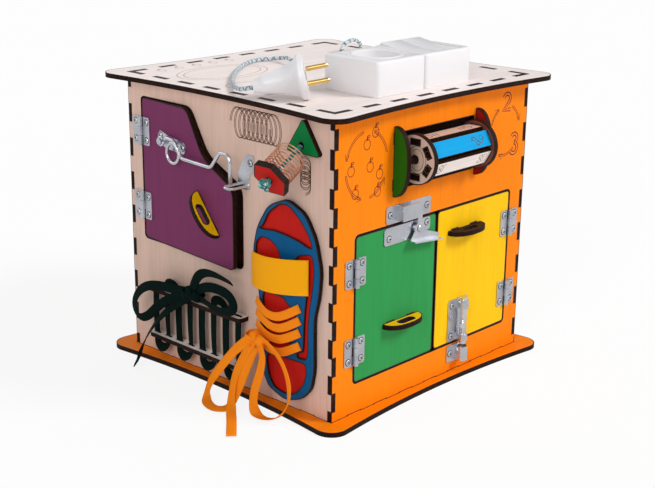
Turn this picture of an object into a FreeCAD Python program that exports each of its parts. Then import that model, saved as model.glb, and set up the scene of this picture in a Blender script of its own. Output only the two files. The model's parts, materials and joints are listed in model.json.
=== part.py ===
import FreeCAD
import Part

import math
import os

from FreeCAD import Placement, Rotation, Vector

# Busy cube for a small child: a finger-jointed plywood cube between two wider plates.
# +Z is up, the orange front face looks along -Y, the bare wooden left face along -X.
# The origin is the centre of the base plate's underside. Sizes are in millimetres.
# On a face, u runs to the right, v up from the base plate's top and w out of the face.

DRIVING_SIZES = {
    "ply": 4.0,
    "cube_width": 250.0,
    "panel_height": 250.0,
    "finger_pitch": 15.5,
    "first_finger": 8.75,
    "tab_pitch": 32.6,
    "tab_width": 16.3,
    "corner_tab_start": 106.0,
    "joint_gap": 0.1,
    "plate_waist": 135.0,
    "plate_corner": 143.0,
    "plate_corner_radius": 15.0,
    "door_gap": 0.7,
    "door_seam": 2.2,
    "green_hinge_u": -99.5,
    "yellow_hinge_u": 105.0,
    "purple_hinge_u": -107.0,
    "front_door_bottom": 26.0,
    "front_door_top": 152.6,
    "seam_u": 2.2,
    "purple_bottom": 106.0,
    "purple_top": 235.0,
    "purple_right": 22.4,
    "purple_ajar": 4.5,
    "hinge_leaf": 12.0,
    "hinge_thickness": 1.0,
    "knuckle_radius": 2.2,
    "knuckle_height": 2.5,
    "pin_radius": 1.0,
    "running_gap": 0.05,
    "handle_length": 45.0,
    "handle_reach": 13.5,
    "handle_slot_length": 22.0,
    "handle_slot_width": 5.0,
    "handle_tab": 8.0,
    "drum_v": 205.0,
    "drum_axis_w": 6.5,
    "drum_radius": 21.0,
    "drum_left": -37.0,
    "drum_right": 46.0,
    "drum_slats": 6.0,
    "slat_width": 14.2,
    "slat_outside": 16.5,
    "slat_tab": 9.0,
    "axle_radius": 3.0,
    "bracket_chord": 58.0,
    "bracket_reach": 15.0,
    "bracket_left": -56.0,
    "bracket_right": 50.0,
    "box_size": 60.0,
    "box_height": 29.0,
    "box_edge": 4.0,
    "cord_diameter": 3.6,
    "lace_tube": 3.0,
    "lace_width": 8.5,
    "lace_thickness": 1.2,
    "rail_reach": 10.5,
    "lacing_pitch": 15.5,
    "spring_radius": 11.0,
    "spring_wire": 0.8,
    "spring_length": 23.0,
    "spring_turns": 8.0,
    "toy_droop": 32.0,
    "hexagon_across": 34.0,
    "hexagon_thickness": 5.0,
}

doc = FreeCAD.newDocument("BusyCube")
sheet = doc.addObject("Spreadsheet::Sheet", "Sizes")
for row, (alias, value) in enumerate(DRIVING_SIZES.items(), start=1):
    sheet.set("A%d" % row, alias)
    sheet.set("B%d" % row, str(value))
    sheet.setAlias("B%d" % row, alias)
doc.recompute()


def size(alias):
    return float(sheet.get(alias))


PLY = size("ply")
HALF = size("cube_width") / 2
INSIDE = HALF - PLY
TOP = size("panel_height")
GAP = size("joint_gap")
DOOR_GAP = size("door_gap")
FRONT, RIGHT, BACK, LEFT = 0, 90, 180, -90
SCREW_HEAD_RADIUS = 2.3
SCREW_HEAD_HEIGHT = 1.1
SCREW_RADIUS = 1.1
SCREW_LENGTH = 3.6
HEAD_SIDES = 6
SHANK_SIDES = 4
WIRE_SIDES = 5
LACE_SIDES = 4
parts = []


def register(part):
    parts.append(part)
    return part


# Outlines


def on_face(angle, u=0.0, v=0.0, w=0.0):
    """Placement whose local x, y and z are u, v and w of the face at that angle."""
    around = Rotation(Vector(0, 0, 1), angle)
    turn = around * Rotation(Vector(1, 0, 0), 90)
    centre = around.multVec(Vector(0, -HALF, PLY))
    return Placement(centre + turn.multVec(Vector(u, v, w)), turn)


def lines(points):
    corners = [Vector(*point, 0) for point in points]
    return [Part.LineSegment(a, b) for a, b in zip(corners, corners[1:] + corners[:1])]


def rectangle(u_low, v_low, u_high, v_high):
    return lines([(u_low, v_low), (u_high, v_low), (u_high, v_high), (u_low, v_high)])


def circle(u, v, radius):
    return [Part.Circle(Vector(u, v, 0), Vector(0, 0, 1), radius)]


def corner_arc(before, corner, after, radius):
    """Ends and middle of the arc that rounds one corner."""
    back = (before - corner).normalize()
    onward = (after - corner).normalize()
    half = back.getAngle(onward) / 2
    reach = radius / math.tan(half)
    centre = corner + (back + onward).normalize() * (radius / math.sin(half))
    middle = centre + (corner - centre).normalize() * radius
    return corner + back * reach, middle, corner + onward * reach


def rounded(points, radii):
    """Closed outline of straight edges whose corners are arcs of the given radii."""
    corners = [Vector(*point, 0) for point in points]
    if not isinstance(radii, (list, tuple)):
        radii = [radii] * len(corners)
    arcs = []
    for index, corner in enumerate(corners):
        after = corners[(index + 1) % len(corners)]
        arcs.append(corner_arc(corners[index - 1], corner, after, radii[index]))
    edges = []
    for index, (start, middle, end) in enumerate(arcs):
        following = arcs[(index + 1) % len(arcs)][0]
        edges.append(Part.Arc(start, middle, end))
        if (following - end).Length > 1e-4:
            edges.append(Part.LineSegment(end, following))
    return edges


def inset(points, distance):
    """Polygon moved inward by a distance; its points run anticlockwise."""
    corners = [Vector(*point, 0) for point in points]
    moved = []
    for index, corner in enumerate(corners):
        back = (corners[index - 1] - corner).normalize()
        onward = (corners[(index + 1) % len(corners)] - corner).normalize()
        normal_in = Vector(back.y, -back.x, 0)
        normal_out = Vector(-onward.y, onward.x, 0)
        middle = (normal_in + normal_out).normalize()
        shift = middle * (distance / middle.dot(normal_out))
        moved.append(((corner + shift).x, (corner + shift).y))
    return moved


# Kinds of piece


def cut_sheet(label, loops, placement, thickness="Sizes.ply"):
    """A flat piece cut from sheet: its sketch holds the outline and the holes."""
    body = doc.addObject("PartDesign::Body", label + "_body")
    body.Label = label
    sketch = body.newObject("Sketcher::SketchObject", label + "_outline")
    plane = next(item for item in body.Origin.OriginFeatures if item.Role == "XY_Plane")
    sketch.AttachmentSupport = [(plane, "")]
    sketch.MapMode = "FlatFace"
    for loop in loops:
        sketch.addGeometry(loop, False)
    pad = body.newObject("PartDesign::Pad", label + "_pad")
    pad.Profile = sketch
    pad.setExpression("Length", thickness)
    body.Placement = placement
    return register(body)


def shaped(label, shape, placement=None):
    """A piece whose shape is set directly, with its place given after it."""
    feature = doc.addObject("Part::Feature", label + "_piece")
    feature.Label = label
    feature.Shape = shape
    if placement:
        feature.Placement = placement
    return register(feature)


def compound(label, solids, placement=None):
    return shaped(label, Part.makeCompound(solids), placement)


def placed(shape, placement):
    copy = shape.copy()
    copy.Placement = placement
    return copy


def block(low, high):
    return Part.makeBox(high[0] - low[0], high[1] - low[1], high[2] - low[2], Vector(*low))


def rod(start, axis, radius, length):
    return Part.makeCylinder(radius, length, Vector(*start), Vector(*axis))


def ring_points(centre, axis, radius, sides):
    """Corners of a regular polygon about an axis, the first one repeated at the end."""
    normal = Vector(*axis).normalize()
    turn = Rotation(Vector(0, 0, 1), normal)
    points = []
    for step in range(sides):
        angle = 2 * math.pi * (step + 0.5) / sides
        flat = Vector(radius * math.cos(angle), radius * math.sin(angle), 0)
        points.append(Vector(*centre) + turn.multVec(flat))
    return points + points[:1]


def facet_rod(start, axis, radius, length, sides=8):
    """A thin round piece kept to a few flat sides; the radius is to its corners."""
    outline = Part.Face(Part.makePolygon(ring_points(start, axis, radius, sides)))
    return outline.extrude(Vector(*axis).normalize() * length)


def facet_bore(start, axis, radius, length, sides=8):
    """The space for a round pin: the radius is to the middles of its flat sides."""
    return facet_rod(start, axis, radius / math.cos(math.pi / sides), length, sides)


def slab(loops, w_low, thickness):
    """A plate in u and v from its outline and holes, w_low above the face."""
    wires = [Part.Wire([edge.toShape() for edge in loop]) for loop in loops]
    face = Part.Face(wires[0])
    for wire in wires[1:]:
        face = face.cut(Part.Face(wire))
    solid = face.extrude(Vector(0, 0, thickness))
    solid.translate(Vector(0, 0, w_low))
    return solid


def fused(shapes):
    return shapes[0].fuse(shapes[1:]).removeSplitter()


def screws(places, w_low):
    """Pan-head screws standing on w_low, their shanks in the wood behind."""
    solids = []
    for u, v in places:
        head = facet_rod((u, v, w_low), (0, 0, 1), SCREW_HEAD_RADIUS, SCREW_HEAD_HEIGHT, HEAD_SIDES)
        shank = facet_rod((u, v, w_low - SCREW_LENGTH), (0, 0, 1), SCREW_RADIUS, SCREW_LENGTH, SHANK_SIDES)
        solids.append(head.fuse(shank))
    return solids


def screw_holes(places):
    """Holes that clear the shanks, each a closed outline with as many sides as a shank."""
    loops = []
    for u, v in places:
        corners = ring_points((u, v, 0), (0, 0, 1), SCREW_RADIUS + 0.15, SHANK_SIDES)
        loops.append([Part.LineSegment(a, b) for a, b in zip(corners, corners[1:])])
    return loops


def route(points, radii=None):
    """Straight runs joined by tangent arcs, and the radii of the arcs."""
    corners = [Vector(*point) for point in points]
    edges = []
    used = []
    start = corners[0]
    for index in range(1, len(corners) - 1):
        before, corner, after = corners[index - 1:index + 2]
        half = (before - corner).getAngle(after - corner) / 2
        run = min((before - corner).Length, (after - corner).Length)
        radius = radii[index - 1] if radii else 0.45 * run * math.tan(half)
        enter, middle, leave = corner_arc(before, corner, after, radius)
        edges.append(Part.LineSegment(start, enter).toShape())
        edges.append(Part.Arc(enter, middle, leave).toShape())
        used.append(radius)
        start = leave
    edges.append(Part.LineSegment(start, corners[-1]).toShape())
    return Part.Wire(edges), used


def facet_ball(centre, radius, sides=8):
    """A small ball turned from a half polygon."""
    half = sides // 2
    angles = [math.pi * step / half for step in range(half + 1)]
    profile = [Vector(radius * math.sin(angle), 0, -radius * math.cos(angle)) for angle in angles]
    rings = []
    for point in profile[1:-1]:
        level = centre + Vector(0, 0, point.z)
        rings.append(ring_points((level.x, level.y, level.z), (0, 0, 1), point.x, sides)[:-1])
    low = centre - Vector(0, 0, radius)
    high = centre + Vector(0, 0, radius)
    faces = []
    for step in range(sides):
        after = (step + 1) % sides
        faces.append([low, rings[0][after], rings[0][step]])
        faces.append([high, rings[-1][step], rings[-1][after]])
        for under, over in zip(rings, rings[1:]):
            faces.append([under[step], under[after], over[after], over[step]])
    shell = Part.Shell([Part.Face(Part.makePolygon(face + face[:1])) for face in faces])
    return Part.Solid(shell)


def faceted_area(radius, sides):
    return sides / 2 * radius * radius * math.sin(2 * math.pi / sides)


def tube(name, points, diameter, radii=None, sides=6):
    """A tube of flat sides along a route; its volume is set against section times length."""
    wire, used = route(points, radii)
    direction = Vector(*points[1]) - Vector(*points[0])
    ring = Part.makePolygon(ring_points(points[0], direction, diameter / 2, sides))
    solid = wire.makePipeShell([ring], True, False)
    section = faceted_area(diameter / 2, sides)
    print("%s: length %.1f, volume ratio %.4f, radii %s" % (
        name, wire.Length, solid.Volume / (section * wire.Length),
        " ".join("%.1f" % value for value in used)))
    return solid


# Cube: two plates and four finger-jointed panels


def tab_centres():
    pitch = size("tab_pitch")
    return [pitch * (index - 2.5) for index in range(6)]


def fingered_edge(owns_ends):
    """Points up the right edge of a panel, through its fingers."""
    pitch = size("finger_pitch")
    marks = [size("first_finger") + pitch * step for step in range(16)]
    starts = [-PLY] + marks
    ends = marks + [TOP + PLY]
    points = []
    for index, (low, high) in enumerate(zip(starts, ends)):
        owned = (index % 2 == 0) == owns_ends
        play = GAP / 2 if owned else -GAP / 2
        low_mark = low if index == 0 else low + play
        high_mark = high if index == len(marks) else high - play
        reach = HALF if owned else INSIDE
        points += [(reach, low_mark), (reach, high_mark)]
    return points


def tabbed_edge(level, tab_level):
    """Points along a horizontal edge from left to right, through its tabs."""
    corner = size("corner_tab_start")
    half_tab = size("tab_width") / 2
    points = [(-corner, tab_level), (-corner, level)]
    for centre in tab_centres():
        points += [(centre - half_tab, level), (centre - half_tab, tab_level)]
        points += [(centre + half_tab, tab_level), (centre + half_tab, level)]
    return points + [(corner, level), (corner, tab_level)]


def panel_outline(owns_ends):
    right = fingered_edge(owns_ends)
    left = [(-u, v) for u, v in reversed(right)]
    bottom = tabbed_edge(0, -PLY)
    top = list(reversed(tabbed_edge(TOP, TOP + PLY)))
    return lines(bottom + right + top + left)


def plate_outline():
    """Waisted plate: four shallow arcs that run into rounded corners."""
    corner = size("plate_corner")
    waist = size("plate_waist")
    radius = size("plate_corner_radius")
    centre = corner - radius
    flare = 2 * math.atan((corner - waist) / centre)
    edges = []
    for turn in range(4):
        around = Rotation(Vector(0, 0, 1), 90 * turn)

        def spun(x, y):
            return around.multVec(Vector(x, y, 0))

        end_x = centre - radius * math.sin(flare)
        end_y = -centre - radius * math.cos(flare)
        diagonal = centre + radius * math.sqrt(0.5)
        edges.append(Part.Arc(spun(-end_x, end_y), spun(0, -waist), spun(end_x, end_y)))
        edges.append(Part.Arc(spun(end_x, end_y), spun(diagonal, -diagonal), spun(-end_y, -end_x)))
    return edges


def plate_slots():
    """Slots for the tabs of the panels: six to a side and an L at each corner."""
    half_slot = size("tab_width") / 2 + GAP
    outer = HALF + GAP
    inner = INSIDE - GAP
    start = size("corner_tab_start") - GAP
    loops = []
    for turn in range(4):
        around = Rotation(Vector(0, 0, 1), 90 * turn)

        def spun(points):
            turned = [around.multVec(Vector(x, y, 0)) for x, y in points]
            return lines([(point.x, point.y) for point in turned])

        for centre in tab_centres():
            low, high = centre - half_slot, centre + half_slot
            loops.append(spun([(low, -outer), (high, -outer), (high, -inner), (low, -inner)]))
        loops.append(spun([(start, -outer), (outer, -outer), (outer, -start),
                           (inner, -start), (inner, -inner), (start, -inner)]))
    return loops


def tab_slot(u, v, along_u, along_v):
    return rectangle(u - along_u / 2 - GAP, v - along_v / 2 - GAP,
                     u + along_u / 2 + GAP, v + along_v / 2 + GAP)


# Places of what the faces carry

GREEN_U = size("green_hinge_u")
YELLOW_U = size("yellow_hinge_u")
PURPLE_U = size("purple_hinge_u")
DOOR_LOW = size("front_door_bottom")
DOOR_HIGH = size("front_door_top")
FRONT_HINGES = [(43.0, 67.0), (110.0, 134.0)]
PURPLE_HINGES = [(124.5, 149.5), (192.0, 217.0)]
PURPLE_OPENING = [
    (PURPLE_U - DOOR_GAP / 2, size("purple_bottom")), (size("purple_right"), size("purple_bottom")),
    (size("purple_right"), 177.0), (-19.0, 197.0), (-41.0, size("purple_top")),
    (PURPLE_U - DOOR_GAP / 2, size("purple_top"))]
PURPLE_RADII = [4.0, 5.0, 15.0, 30.0, 12.0, 4.0]
DRUM_V = size("drum_v")
DRUM_W = size("drum_axis_w")
WINDOW_RIM = 2.5
HANDLE_TAB_SPACING = 26.0
BRACKET_TAB_SPACING = 38.0
GREEN_HANDLE = (-42.0, 66.5)
YELLOW_HANDLE = (40.5, 129.5)
PURPLE_HANDLE = (-13.0, 148.5)
PURPLE_HANDLE_ANGLE = -48.0
RAIL_LEVELS = {"upper": 64.0, "lower": 20.0}
RAIL_SPAN = (-93.0, 28.0)
LACING_FIRST = -87.0
CORD_HOLES = [(3.0, 45.0), (79.0, 60.0), (116.0, 66.0)]


def handle_slots(place, angle):
    """Two slots in a door for the tabs of a handle that stands at that angle."""
    loops = []
    turn = Rotation(Vector(0, 0, 1), angle)
    half_long = size("handle_tab") / 2 + GAP
    half_wide = PLY / 2 + GAP
    for side in (-1, 1):
        middle = side * HANDLE_TAB_SPACING / 2
        corners = [(middle - half_long, -half_wide), (middle + half_long, -half_wide),
                   (middle + half_long, half_wide), (middle - half_long, half_wide)]
        turned = [turn.multVec(Vector(x, y, 0)) + Vector(*place, 0) for x, y in corners]
        loops.append(lines([(point.x, point.y) for point in turned]))
    return loops


def build_cube():
    slots = plate_slots()
    holes = [circle(x, y, 2.6) for x, y in CORD_HOLES]
    cut_sheet("base_plate", [plate_outline()] + slots, Placement())
    cut_sheet("top_plate", [plate_outline()] + slots + holes,
              Placement(Vector(0, 0, PLY + TOP), Rotation()))

    doorway = rounded([(GREEN_U - DOOR_GAP / 2, DOOR_LOW), (YELLOW_U + DOOR_GAP / 2, DOOR_LOW),
                       (YELLOW_U + DOOR_GAP / 2, DOOR_HIGH), (GREEN_U - DOOR_GAP / 2, DOOR_HIGH)],
                      4.0)
    window_low = size("bracket_left") + PLY + WINDOW_RIM
    window_high = size("bracket_right") - WINDOW_RIM
    drum_window = rounded([(window_low, DRUM_V - 23), (window_high, DRUM_V - 23),
                           (window_high, DRUM_V + 23), (window_low, DRUM_V + 23)], 1.5)
    bracket_slots = []
    for left_side in (size("bracket_left"), size("bracket_right")):
        for side in (-1, 1):
            middle = DRUM_V + side * BRACKET_TAB_SPACING / 2
            bracket_slots.append(tab_slot(left_side + PLY / 2, middle, PLY, 8.0))
    cut_sheet("front_panel", [panel_outline(True), doorway, drum_window] + bracket_slots,
              on_face(FRONT, w=-PLY))
    cut_sheet("back_panel", [panel_outline(True)], on_face(BACK, w=-PLY))

    rail_slots = []
    for level in RAIL_LEVELS.values():
        for u in (-62.0, 0.0):
            rail_slots.append(tab_slot(u, level, 10.0, PLY))
    toy_hole = [circle(*TOY_HOLE, 2.6)]
    cut_sheet("left_panel", [panel_outline(False), rounded(PURPLE_OPENING, PURPLE_RADII)]
              + rail_slots + toy_hole, on_face(LEFT, w=-PLY))
    cut_sheet("right_panel", [panel_outline(False)], on_face(RIGHT, w=-PLY))


# Doors with their handles


def purple_place(u=0.0, v=0.0, w=0.0):
    """A place on the left face carried round by the door that stands ajar."""
    axis = on_face(LEFT, PURPLE_U, 0, size("knuckle_height")).Base
    swing = Placement(Vector(0, 0, 0), Rotation(Vector(0, 0, 1), -size("purple_ajar")), axis)
    return swing * on_face(LEFT, u, v, w)


def front_place(u=0.0, v=0.0, w=0.0):
    return on_face(FRONT, u, v, w)


def left_place(u=0.0, v=0.0, w=0.0):
    return on_face(LEFT, u, v, w)


def standing(place, angle):
    """Turns a flat piece so that its y runs out of the face and its x along the angle."""
    upright = Rotation(Vector(0, 0, 1), angle) * Rotation(Vector(1, 0, 0), 90)
    return place.multiply(Placement(Vector(0, 0, 0), upright))


def half_moon(chord, reach, tab_middles, tab):
    """Half-moon with a chord on the face and tabs that go through it."""
    half = chord / 2
    edges = [Part.Arc(Vector(half, 0, 0), Vector(0, reach, 0), Vector(-half, 0, 0))]
    points = [(-half, 0)]
    for middle in tab_middles:
        points += [(middle - tab / 2, 0), (middle - tab / 2, -PLY)]
        points += [(middle + tab / 2, -PLY), (middle + tab / 2, 0)]
    points.append((half, 0))
    corners = [Vector(*point, 0) for point in points]
    return edges + [Part.LineSegment(a, b) for a, b in zip(corners, corners[1:])]


def round_slot(length, width, middle):
    half = length / 2 - width / 2
    low = middle - width / 2
    high = middle + width / 2
    return [Part.LineSegment(Vector(-half, low, 0), Vector(half, low, 0)),
            Part.Arc(Vector(half, low, 0), Vector(half + width / 2, middle, 0), Vector(half, high, 0)),
            Part.LineSegment(Vector(half, high, 0), Vector(-half, high, 0)),
            Part.Arc(Vector(-half, high, 0), Vector(-half - width / 2, middle, 0), Vector(-half, low, 0))]


def handle(label, place, angle):
    middles = [-HANDLE_TAB_SPACING / 2, HANDLE_TAB_SPACING / 2]
    outline = half_moon(size("handle_length"), size("handle_reach"), middles, size("handle_tab"))
    slot = round_slot(size("handle_slot_length"), size("handle_slot_width"), 6.2)
    upright = standing(place, angle)
    upright = upright.multiply(Placement(Vector(0, 0, -PLY / 2), Rotation()))
    cut_sheet(label, [outline, slot], upright)


def build_doors():
    seam = size("seam_u")
    half_seam = size("door_seam") / 2
    green = [(GREEN_U + DOOR_GAP / 2, DOOR_LOW + DOOR_GAP), (seam - half_seam, DOOR_LOW + DOOR_GAP),
             (seam - half_seam, DOOR_HIGH - DOOR_GAP), (GREEN_U + DOOR_GAP / 2, DOOR_HIGH - DOOR_GAP)]
    yellow = [(seam + half_seam, DOOR_LOW + DOOR_GAP), (YELLOW_U - DOOR_GAP / 2, DOOR_LOW + DOOR_GAP),
              (YELLOW_U - DOOR_GAP / 2, DOOR_HIGH - DOOR_GAP), (seam + half_seam, DOOR_HIGH - DOOR_GAP)]
    cut_sheet("green_door", [rounded(green, 3.5)] + handle_slots(GREEN_HANDLE, 0), front_place(w=-PLY))
    cut_sheet("yellow_door", [rounded(yellow, 3.5)] + handle_slots(YELLOW_HANDLE, 0), front_place(w=-PLY))
    purple = rounded(inset(PURPLE_OPENING, DOOR_GAP), PURPLE_RADII)
    cut_sheet("purple_door", [purple] + handle_slots(PURPLE_HANDLE, PURPLE_HANDLE_ANGLE),
              purple_place(w=-PLY))
    handle("green_handle", front_place(*GREEN_HANDLE), 0)
    handle("yellow_handle", front_place(*YELLOW_HANDLE), 0)
    handle("purple_handle", purple_place(*PURPLE_HANDLE), PURPLE_HANDLE_ANGLE)


# Butt hinges: leaves with three knuckles on a pin


PIN_INSET = 0.2
HINGE_SCREW_U = 7.6
HINGE_SCREW_V = 4.5


def hinge_screw_places(u_axis, side, low, high):
    u = u_axis + side * HINGE_SCREW_U
    return [(u, low + HINGE_SCREW_V), (u, high - HINGE_SCREW_V)]


def hinge_leaf(u_axis, side, low, high, outer_knuckles, bore):
    """One leaf on the side of the axis given by the sign of side."""
    thickness = size("hinge_thickness")
    radius = size("knuckle_radius")
    centre = size("knuckle_height")
    clear = radius + 0.3
    inner = u_axis + side * clear
    outer = u_axis + side * size("hinge_leaf")
    u_low, u_high = min(inner, outer), max(inner, outer)
    cut = 1.2
    root_w = 0.35
    knuckle_play = 0.15
    outer_u = u_low if side < 0 else u_high
    inner_u = u_high if side < 0 else u_low
    outline = lines([(inner_u, low), (outer_u - side * cut, low), (outer_u, low + cut),
                     (outer_u, high - cut), (outer_u - side * cut, high), (inner_u, high)])
    plate = slab([outline] + screw_holes(hinge_screw_places(u_axis, side, low, high)), 0, thickness)
    third = (high - low) / 3
    bands = [(low + third, high - third)]
    if outer_knuckles:
        bands = [(low, low + third), (high - third, high)]
    solids = [plate]
    for band_low, band_high in bands:
        start = band_low if band_low == low else band_low + knuckle_play
        end = band_high if band_high == high else band_high - knuckle_play
        root_low, root_high = min(u_axis, inner), max(u_axis, inner)
        solids.append(block((root_low, start, root_w), (root_high + 0.01, end, thickness)))
        solids.append(facet_rod((u_axis, start, centre), (0, 1, 0), radius, end - start))
    leaf = fused(solids)
    return leaf.cut(facet_bore((u_axis, low - 1, centre), (0, 1, 0), bore, high - low + 2))


def build_hinges():
    pin = size("pin_radius")
    tight = pin + 0.02
    loose = pin + size("running_gap")
    fixed_leaves = []
    pins = []
    doors = [("green", GREEN_U, 1, FRONT_HINGES, front_place(), front_place()),
             ("yellow", YELLOW_U, -1, FRONT_HINGES, front_place(), front_place()),
             ("purple", PURPLE_U, 1, PURPLE_HINGES, left_place(), purple_place())]
    for name, u_axis, door_side, spans, fixed, moving in doors:
        door_leaves = []
        for low, high in spans:
            leaf = hinge_leaf(u_axis, -door_side, low, high, True, tight)
            fixed_leaves.append(placed(leaf, fixed))
            door_leaves.append(hinge_leaf(u_axis, door_side, low, high, False, loose))
            start = (u_axis, low + PIN_INSET, size("knuckle_height"))
            shank = rod(start, (0, 1, 0), pin, high - low - 2 * PIN_INSET)
            pins.append(placed(shank, fixed))
        compound(name + "_hinge_leaves", door_leaves, moving)
    compound("fixed_hinge_leaves", fixed_leaves)
    compound("hinge_pins", pins)


# Drum that turns on an axle between two half-moon brackets


def build_drum():
    axle = size("axle_radius")
    running = axle + size("running_gap")
    for label, left_side in (("drum_bracket_left", "bracket_left"),
                             ("drum_bracket_right", "bracket_right")):
        middles = [-BRACKET_TAB_SPACING / 2, BRACKET_TAB_SPACING / 2]
        outline = half_moon(size("bracket_chord"), size("bracket_reach"), middles, 8.0)
        place = front_place(size(left_side), DRUM_V, 0)
        cut_sheet(label, [outline, circle(0, DRUM_W, running)], standing(place, 90))
    length = size("bracket_right") - size("bracket_left") + PLY
    shaped("drum_axle", Part.makeCylinder(axle, length),
           Placement(front_place(size("bracket_left"), DRUM_V, DRUM_W).Base,
                     Rotation(Vector(0, 1, 0), 90)))

    count = int(size("drum_slats"))
    slat_middle = size("slat_outside") - PLY / 2
    disc_slots = []
    for index in range(count):
        turn = Rotation(Vector(0, 0, 1), 30 + 60 * index)
        half_long = size("slat_tab") / 2 + GAP
        half_wide = PLY / 2 + GAP
        corners = [(slat_middle - half_wide, -half_long), (slat_middle + half_wide, -half_long),
                   (slat_middle + half_wide, half_long), (slat_middle - half_wide, half_long)]
        turned = [turn.multVec(Vector(x, y, 0)) for x, y in corners]
        disc_slots.append(lines([(point.x, point.y) for point in turned]))
    disc = [circle(0, 0, size("drum_radius")), circle(0, 0, running)] + disc_slots
    centre = front_place(0, DRUM_V, DRUM_W).Base
    sideways = Rotation(Vector(0, 1, 0), Vector(0, 0, 1), Vector(1, 0, 0), "XYZ")
    left_end = size("drum_left")
    right_end = size("drum_right")
    cut_sheet("drum_disc_left", disc, Placement(centre + Vector(left_end, 0, 0), sideways))
    cut_sheet("drum_disc_right", disc, Placement(centre + Vector(right_end - PLY, 0, 0), sideways))

    half_width = size("slat_width") / 2
    half_tab = size("slat_tab") / 2
    inner_left = left_end + PLY + GAP
    inner_right = right_end - PLY - GAP
    outline = [(inner_left, -half_width), (inner_right, -half_width), (inner_right, -half_tab),
               (right_end, -half_tab), (right_end, half_tab), (inner_right, half_tab),
               (inner_right, half_width), (inner_left, half_width), (inner_left, half_tab),
               (left_end, half_tab), (left_end, -half_tab), (inner_left, -half_tab)]
    for index in range(count):
        angle = 30 + 60 * index
        out = Vector(0, -math.cos(math.radians(angle)), math.sin(math.radians(angle)))
        base = centre + out * (size("slat_outside") - PLY)
        turn = Rotation(Vector(1, 0, 0), out.cross(Vector(1, 0, 0)), out, "XYZ")
        cut_sheet("drum_slat_%d" % (index + 1), [lines(outline)], Placement(base, turn))


# Fittings of thin sheet metal, their studs, straps and wires


FITTING_SHEET = 1.0
SEAT_W = 0.5


def fitting_plate(corners, screw_places, radius):
    """Thin plate flat on the face, with holes for its screws."""
    return slab([rounded(corners, radius)] + screw_holes(screw_places), 0, FITTING_SHEET)


# Turn latch on the green door


LATCH_PIVOT = (-25.0, 144.0)
LEVER_W = 3.0
LEVER_SHEET = 1.2


def build_latch():
    keeper_screws = [(-59.0, 161.5), (-13.0, 161.5)]
    keeper_plate = fitting_plate([(-64, 154), (-8, 154), (-8, 169), (-64, 169)], keeper_screws, 3.0)
    bridge_low, bridge_high = 155.0, 168.0
    leg_u, open_end_u = -50.0, -28.6
    bridge_w = 6.0
    bridge_top = bridge_w + FITTING_SHEET
    leg = block((leg_u, bridge_low, SEAT_W), (leg_u + FITTING_SHEET, bridge_high, bridge_top))
    bridge = block((leg_u, bridge_low, bridge_w), (open_end_u, bridge_high, bridge_top))
    shaped("latch_keeper", fused([keeper_plate, leg, bridge]), front_place())

    plate_screws = [(-60.0, 141.5), (-12.5, 146.5)]
    plate_corners = [(-66, 136), (-30, 136), (-8, 140), (-8, 151), (-66, 151)]
    plate = fitting_plate(plate_corners, plate_screws, 3.0)
    boss_radius, stud_radius, head_radius = 4.0, 2.0, 3.2
    boss_height, stud_height, head_height = 2.3, 4.4, 1.0
    boss = rod((*LATCH_PIVOT, SEAT_W), (0, 0, 1), boss_radius, boss_height)
    stud = rod((*LATCH_PIVOT, SEAT_W), (0, 0, 1), stud_radius, stud_height)
    head = Part.makeCone(head_radius, head_radius - 1.0, head_height, Vector(*LATCH_PIVOT, 4.5))
    shaped("latch_plate", fused([plate, boss, stud, head]), front_place())

    hub_radius, tongue_radii, arm_radii = 6.0, [0.5, 0.5, 2.4, 2.4], [1.0, 1.5, 1.5, 3.0, 3.0]
    lip_reach = 6.0
    tongue_corners = [(-27.6, 146), (-22.2, 146), (-22.2, 159.5), (-27.6, 159.5)]
    arm_corners = [(-36, 134.6), (0, 130.8), (0, 135.5), (-20, 142), (-30, 143)]
    lip_corners = [(-36, 134.2), (0, 130.4), (0, 131.6), (-36, 135.4)]
    hub = slab([circle(*LATCH_PIVOT, hub_radius)], LEVER_W, LEVER_SHEET)
    tongue = slab([rounded(tongue_corners, tongue_radii)], LEVER_W, LEVER_SHEET)
    arm = slab([rounded(arm_corners, arm_radii)], LEVER_W, LEVER_SHEET)
    lip = slab([lines(lip_corners)], LEVER_W, lip_reach)
    bore = rod((*LATCH_PIVOT, 0), (0, 0, 1), stud_radius + size("running_gap"), lip_reach + LEVER_W)
    shaped("latch_lever", fused([hub, tongue, arm, lip]).cut(bore), front_place())
    return keeper_screws, plate_screws


# Sliding bolt on the yellow door


BOLT_U = 37.0
BOLT_W = 6.0


def strap_round(low, high, radius, bore):
    """A strap that stands on the plate and holds the bolt."""
    upper = rod((BOLT_U, low, BOLT_W), (0, 1, 0), radius, high - low)
    legs = block((BOLT_U - radius, low, SEAT_W), (BOLT_U + radius, high, BOLT_W))
    return upper.fuse(legs).cut(rod((BOLT_U, low - 1, BOLT_W), (0, 1, 0), bore, high - low + 2))


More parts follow.
